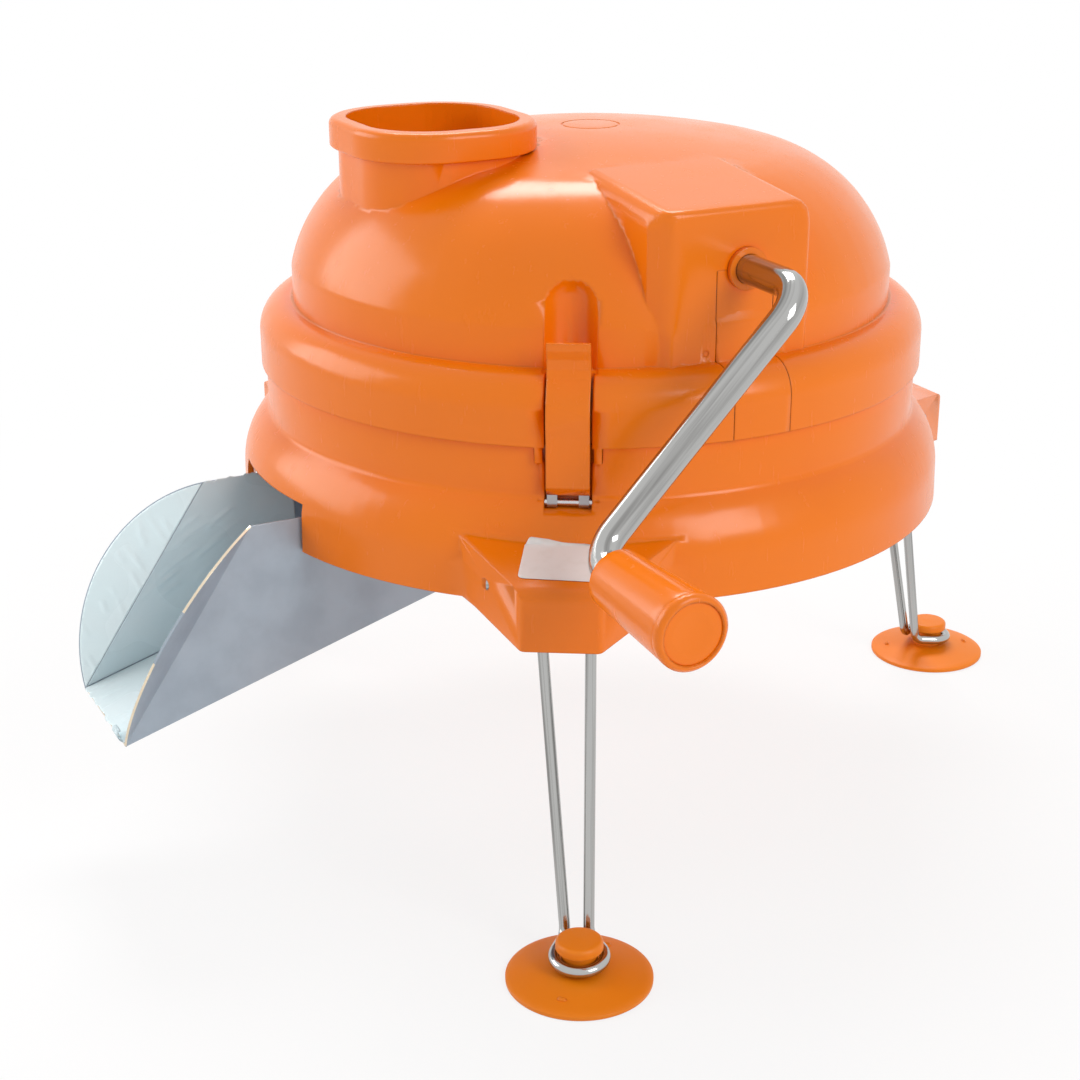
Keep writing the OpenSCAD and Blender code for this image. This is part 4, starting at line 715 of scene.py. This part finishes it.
def rounded_off(mesh, bearing, box, pitch, lines, passes):
    """Rounds a mesh along lines: cuts it finely in the box, then relaxes it within each line's reach."""
    work = bmesh.new()
    work.from_mesh(mesh)
    work.transform(bearing.inverted())
    for axis, (low, high) in enumerate(box):
        across = Vector((axis == 0, axis == 1, axis == 2))
        for step in range(round((high - low) / pitch) + 1):
            near = []
            for face in work.faces:
                spots = [v.co for v in face.verts]
                if all(min(s[k] for s in spots) <= box[k][1] and max(s[k] for s in spots) >= box[k][0]
                       for k in range(3)):
                    near.append(face)
            parts = near + list({e for f in near for e in f.edges}) + list({v for f in near for v in f.verts})
            bmesh.ops.bisect_plane(work, geom=parts, dist=1e-6, plane_co=across * (low + step * pitch),
                                   plane_no=across)
    work.verts.index_update()
    spots = numpy.array([v.co[:] for v in work.verts])
    ends = numpy.array([[v.index for v in e.verts] for e in work.edges])
    pull = numpy.zeros(len(spots))
    for start, end, reach in lines:
        start, end = numpy.array(start), numpy.array(end)
        along = numpy.clip((spots - start) @ (end - start) / ((end - start) @ (end - start)), 0, 1)
        gap = numpy.linalg.norm(spots - start - along[:, None] * (end - start), axis=1)
        pull = numpy.maximum(pull, numpy.clip(1.6 * (1 - gap / reach), 0, 1))
    too_long = numpy.linalg.norm(spots[ends[:, 0]] - spots[ends[:, 1]], axis=1) > longest_relaxed * pitch
    pull[ends[too_long].ravel()] = 0
    count = numpy.bincount(ends.ravel(), minlength=len(spots))[:, None]
    for _ in range(passes):
        sums = numpy.zeros_like(spots)
        numpy.add.at(sums, ends[:, 0], spots[ends[:, 1]])
        numpy.add.at(sums, ends[:, 1], spots[ends[:, 0]])
        spots += (sums / count - spots) * pull[:, None] * 0.5
    for vertex, spot in zip(work.verts, spots):
        vertex.co = spot
    work.transform(bearing)
    work.to_mesh(mesh)
    work.free()
    mesh.shade_smooth()
    mesh.set_sharp_from_angle(angle=math.radians(32))


# The gearbox housing, seen along the shaft: its face, top and sides, and the ends of its rounded edges
front, top, right, left = 0.1465, 0.318, 0.0335, -0.0365
edge_foot, edge_back, far_left, chamfer_back = 0.266, 0.120, -0.045, 0.137
back_rise, chamfer_rise = 0.003, 0.001
top_right, top_left = (front, right, top), (front, left, top)
top_chamfer = (chamfer_back, far_left, top + chamfer_rise)
housing_box = ((0.118, 0.148), (-0.046, 0.036), (0.264, 0.322))
housing_edges = [((front, right, edge_foot), top_right, 0.011), ((front, left, edge_foot), top_left, 0.008),
                 (top_left, top_right, 0.009), (top_right, (edge_back, right, top + back_rise), 0.014),
                 (top_left, top_chamfer, 0.010), (top_chamfer, (edge_back, far_left, top + back_rise), 0.008)]
cut_pitch, relax_passes = 0.0022, 22
rounded_off(bpy.data.objects["cover_shell_skin"].data, crank_bearing, housing_box, cut_pitch,
            housing_edges, relax_passes)

# Thin plugs, 0.15 mm proud, over the two screws of the insert
plug_r, plug_thick, plug_proud, plug_side, plug_z = 0.00145, 0.0002, 0.00005, 0.019, 0.255
facing_out = Matrix.Rotation(math.radians(90), 4, "Y")
plugs = bmesh.new()
for side in (-1, 1):
    plug_place = (crank_bearing @ Matrix.Translation((front + plug_proud, side * plug_side, plug_z))
                  @ facing_out)
    bmesh.ops.create_cone(plugs, cap_ends=True, segments=32, radius1=plug_r, radius2=plug_r, depth=plug_thick,
                          matrix=plug_place)
plug_mesh = bpy.data.meshes.new("screw_plugs")
plugs.to_mesh(plug_mesh)
plugs.free()
plug_mesh.materials.append(glossy_orange)
settled(plug_mesh, "cover_shell", 30, stands_for=False)
as_one_skin("top_bush").data.materials.append(ivory_acetal)
as_one_skin("bearing_cap").data.materials.append(cast_aluminium)
for node in ("insert_screws", "bearing_screws"):
    driven_screws(node, stainless)

# ---------------------------------------------------------------------------
# Crank
# A bright steel rod bent twice, which carries the drive pinion on a cross pin
# and is held by a collar at its inner end.
# ---------------------------------------------------------------------------
# A round rod along a path: each point carries its bend radius and the rod's own radius
rods, rod_in, rod_out = new_tree("bent_rod", (("Bend Steps", "Int"), ("Sides", "Int")))
spine = joined(rods, {0: rod_in["Geometry"]}, "GeometryNodeMeshToCurve")
gauge = joined(rods, {"Name": "gauge"}, "GeometryNodeInputNamedAttribute", data_type="FLOAT")
bend = joined(rods, {"Name": "bend"}, "GeometryNodeInputNamedAttribute", data_type="FLOAT")
spine = joined(rods, {0: spine, "Count": rod_in["Bend Steps"], "Radius": bend, "Limit Radius": True},
               "GeometryNodeFilletCurve", mode="POLY")
length_along = joined(rods, {}, "GeometryNodeSplineParameter", "Length")
spine = joined(rods, {0: spine, "Name": "reach", "Value": length_along}, "GeometryNodeStoreNamedAttribute",
               data_type="FLOAT", domain="POINT")
ring = joined(rods, {"Resolution": rod_in["Sides"], "Radius": 1.0}, "GeometryNodeCurvePrimitiveCircle")
turn_share = joined(rods, {}, "GeometryNodeSplineParameter", "Factor")
ring = joined(rods, {0: ring, "Name": "turn", "Value": turn_share}, "GeometryNodeStoreNamedAttribute",
              data_type="FLOAT", domain="POINT")
close_tree(rods,
           joined(rods, {"Curve": spine, "Profile Curve": ring, "Scale": gauge, "Fill Caps": True},
                  "GeometryNodeCurveToMesh"), rod_in, rod_out)


def rod_along(name, runs, sides, finish):
    """A rod mesh along each of runs, a list of points with (place, bend radius, rod radius)."""
    points, links, bends, gauges = [], [], [], []
    for run in runs:
        links += [(len(points) + k, len(points) + k + 1) for k in range(len(run) - 1)]
        for place, bend_radius, rod_radius in run:
            points.append(place)
            bends.append(bend_radius)
            gauges.append(rod_radius)
    path = bpy.data.meshes.new(name + "_path")
    path.from_pydata(points, links, [])
    for label, values in (("bend", bends), ("gauge", gauges)):
        path.attributes.new(label, "FLOAT", "POINT").data.foreach_set("value", values)
    return grown(name, path, rods, {"Bend Steps": 14, "Sides": sides}, finish)


# Drawn, polished steel whose fine lines follow the rod, with dark reflection streaks painted along it
polished_rod, polished_in, polished_out = new_finish("polished_rod",
                                                     (("Colour", "Color", (0.8, 0.8, 0.8, 1)),
                                                      ("Polish", "Float", 0.08)))
reach_at = joined(polished_rod, {}, "ShaderNodeAttribute", "Fac", attribute_name="reach")
turn_at = reckon(polished_rod, "MULTIPLY",
                 joined(polished_rod, {}, "ShaderNodeAttribute", "Fac", attribute_name="turn"), 2 * math.pi)
wrapped = joined(polished_rod,
                 {"X": reckon(polished_rod, "MULTIPLY", reach_at, 4.0),
                  "Y": reckon(polished_rod, "COSINE", turn_at),
                  "Z": reckon(polished_rod, "SINE", turn_at)}, "ShaderNodeCombineXYZ")
hairlines = speckle(polished_rod, wrapped, 0.06, 4, 0.65)
# Dark streaks that run along and round the rod are painted into its colour: painted reflection.
painted_dark_streaks = ranged(polished_rod, speckle(polished_rod, wrapped, 0.55, 4), 0.42, 0.75)
polished_rod.links.new(blend_colour(polished_rod, reckon(polished_rod, "MULTIPLY", painted_dark_streaks, 0.8),
                                    polished_in.outputs["Colour"], (0.13, 0.125, 0.12, 1)),
                       polished_out.inputs["Colour"])
polished_rod.links.new(reckon(polished_rod, "ADD", polished_in.outputs["Polish"],
                              ranged(polished_rod, hairlines, 0.45, 0.8, 0.0, 0.14)),
                       polished_out.inputs["Roughness"])
polished_rod.links.new(hairlines, polished_out.inputs["Height"])
bright_rod = dressed("bright_rod", polished_rod, {"Colour": (0.46, 0.46, 0.45), "Polish": 0.09}, 0.00012,
                     0.12, 0.0001, Metallic=1.0)

crank_place = (crank_bearing @ Matrix.Translation((0, 0, 0.291))
               @ Matrix.Rotation(math.radians(-134), 4, "X"))
shaft_in_x, arm_x, arm_len, rod_bend, rod_r = 0.103, 0.193, 0.1416, 0.016, 0.0065
grip_x0, grip_len, grip_gap = 0.214, 0.062, 0.0003
pin_r, pin_end_x = 0.005, 0.2623
rod_points = ((shaft_in_x, 0, 0), (arm_x, 0, rod_bend), (arm_x, arm_len, rod_bend),
              (grip_x0 - grip_gap, arm_len, 0))
rod_run = [(crank_place @ Vector((x, y, 0)), turn_r, rod_r) for x, y, turn_r in rod_points]
pin_run = [(crank_place @ Vector((x, arm_len, 0)), 0, pin_r) for x in (grip_x0 - 2 * grip_gap, pin_end_x)]
settled(rod_along("crank_rod_bent", (rod_run, pin_run), 48, bright_rod), "crank_rod", 40)
sintered_steel = metal("sintered_steel", (0.20, 0.20, 0.21), 0.42, 0.1)
as_one_skin("drive_pinion").data.materials.append(sintered_steel)
for node in ("pinion_pin", "shaft_collar", "grip_washer"):
    as_one_skin(node).data.materials.append(stainless)
driven_screws("grip_screw", stainless)

# ---------------------------------------------------------------------------
# Grip
# A tapered plastic handle that turns freely on the rod's end, where a washer
# and a screw hold it. A dished cap closes the end, and two parting lines show.
# ---------------------------------------------------------------------------
for node in ("grip", "grip_cap"):
    as_one_skin(node).data.materials.append(glossy_orange)
grip_r0, grip_r1, line_r = 0.0130, 0.01555, 0.00035
parting_lines = []
for side in (35, 215):
    over = Vector((0, math.cos(math.radians(side)), math.sin(math.radians(side))))
    ends = ((grip_x0 + 0.0022, grip_r0), (grip_x0 + grip_len - 0.0056, grip_r1))
    parting_lines.append([(crank_place @ (Vector((x, arm_len, 0)) + over * (radius - line_r * 0.4)), 0,
                           line_r) for x, radius in ends])
settled(rod_along("grip_parting_lines", parting_lines, 8, glossy_orange), "grip", 60, stands_for=False)

# ---------------------------------------------------------------------------
# Latches
# Three springy plastic levers on spring-steel straps, each of which hooks over
# a catch of the cover.
# ---------------------------------------------------------------------------
spring_steel = metal("spring_steel", (0.42, 0.42, 0.43), 0.34, 0.2)
for side in ("front", "right", "left"):
    as_one_skin("latch_" + side).data.materials.append(glossy_orange)
    as_one_skin("latch_hinge_" + side).data.materials.append(spring_steel)
as_one_skin("latch_pins").data.materials.append(stainless)

# ---------------------------------------------------------------------------
# Legs
# Bent steel wire, hinged in the lugs, with a rubber suction cup in the loop at
# the foot of each. Two small nubs on a cup help to peel it off.
# ---------------------------------------------------------------------------
# The third colour is the painted shade in crevices.
soft_rubber = moulding("soft_rubber", (0.90, 0.235, 0.003), (0.80, 0.185, 0.002), (0.20, 0.030, 0.001),
                       0.42, 0.10)
pivot = Vector((0.186, 0, 0.165))
trunnion_end, wire_half, wire_r, wire_bend = 0.03367, 0.0115, 0.0025, 0.006
foot = Vector((0.2333, 0.0097, 0.011))
loop_r, loop_tail, tail_half, leg_lean = 0.0111, 0.014, 0.0052, 0.0078
loop_tilt = Matrix.Rotation(math.radians(6), 3, "Y")
nub_r, nub_z, nub_size, nub_round = 0.0235, 0.0036, (0.0024, 0.0042, 0.0022), 0.0007
for side, bearing in (("front", -90), ("right", 30), ("left", 150)):
    about = Matrix.Rotation(math.radians(bearing), 4, "Z")
    tails = [Vector((-loop_tail, leg_lean - foot.y + s * tail_half, 0)) for s in (-1, 1)]
    turns = [s * (math.atan2(abs(t.y), t.x) - math.acos(loop_r / t.length)) for s, t in zip((-1, 1), tails)]
    loop = [(foot + loop_tilt @ (loop_r * Vector((math.cos(a), math.sin(a), 0))), 0)
            for a in (turns[0] + (turns[1] - turns[0]) * k / 40 for k in range(41))]
    down = [(Vector((pivot.x, -trunnion_end, pivot.z)), 0),
            (Vector((pivot.x, -wire_half, pivot.z)), wire_bend), (foot + loop_tilt @ tails[0], wire_bend)]
    up = [(foot + loop_tilt @ tails[1], wire_bend), (Vector((pivot.x, wire_half, pivot.z)), wire_bend),
          (Vector((pivot.x, trunnion_end, pivot.z)), 0)]
    wire = [(about @ place, bend_radius, wire_r) for place, bend_radius in down + loop + up]
    settled(rod_along("leg_wire_bent_" + side, [wire], 32, bright_rod), "leg_wire_" + side, 40)
    as_one_skin("suction_foot_" + side).data.materials.append(soft_rubber)
    nubs = bmesh.new()
    for nub_bearing in (-15, 152):
        spot = (about @ Matrix.Translation((foot.x, foot.y, nub_z))
                @ Matrix.Rotation(math.radians(nub_bearing), 4, "Z") @ Matrix.Translation((nub_r, 0, 0)))
        made = bmesh.ops.create_cube(nubs, size=1, matrix=spot @ Matrix.Diagonal((*nub_size, 1)))
        edges = list({e for v in made["verts"] for e in v.link_edges})
        bmesh.ops.bevel(nubs, geom=edges, offset=nub_round, segments=3, affect="EDGES")
    nub_mesh = bpy.data.meshes.new("cup_nubs_" + side)
    nubs.to_mesh(nub_mesh)
    nubs.free()
    nub_mesh.materials.append(soft_rubber)
    settled(nub_mesh, "suction_foot_" + side, 60, stands_for=False)
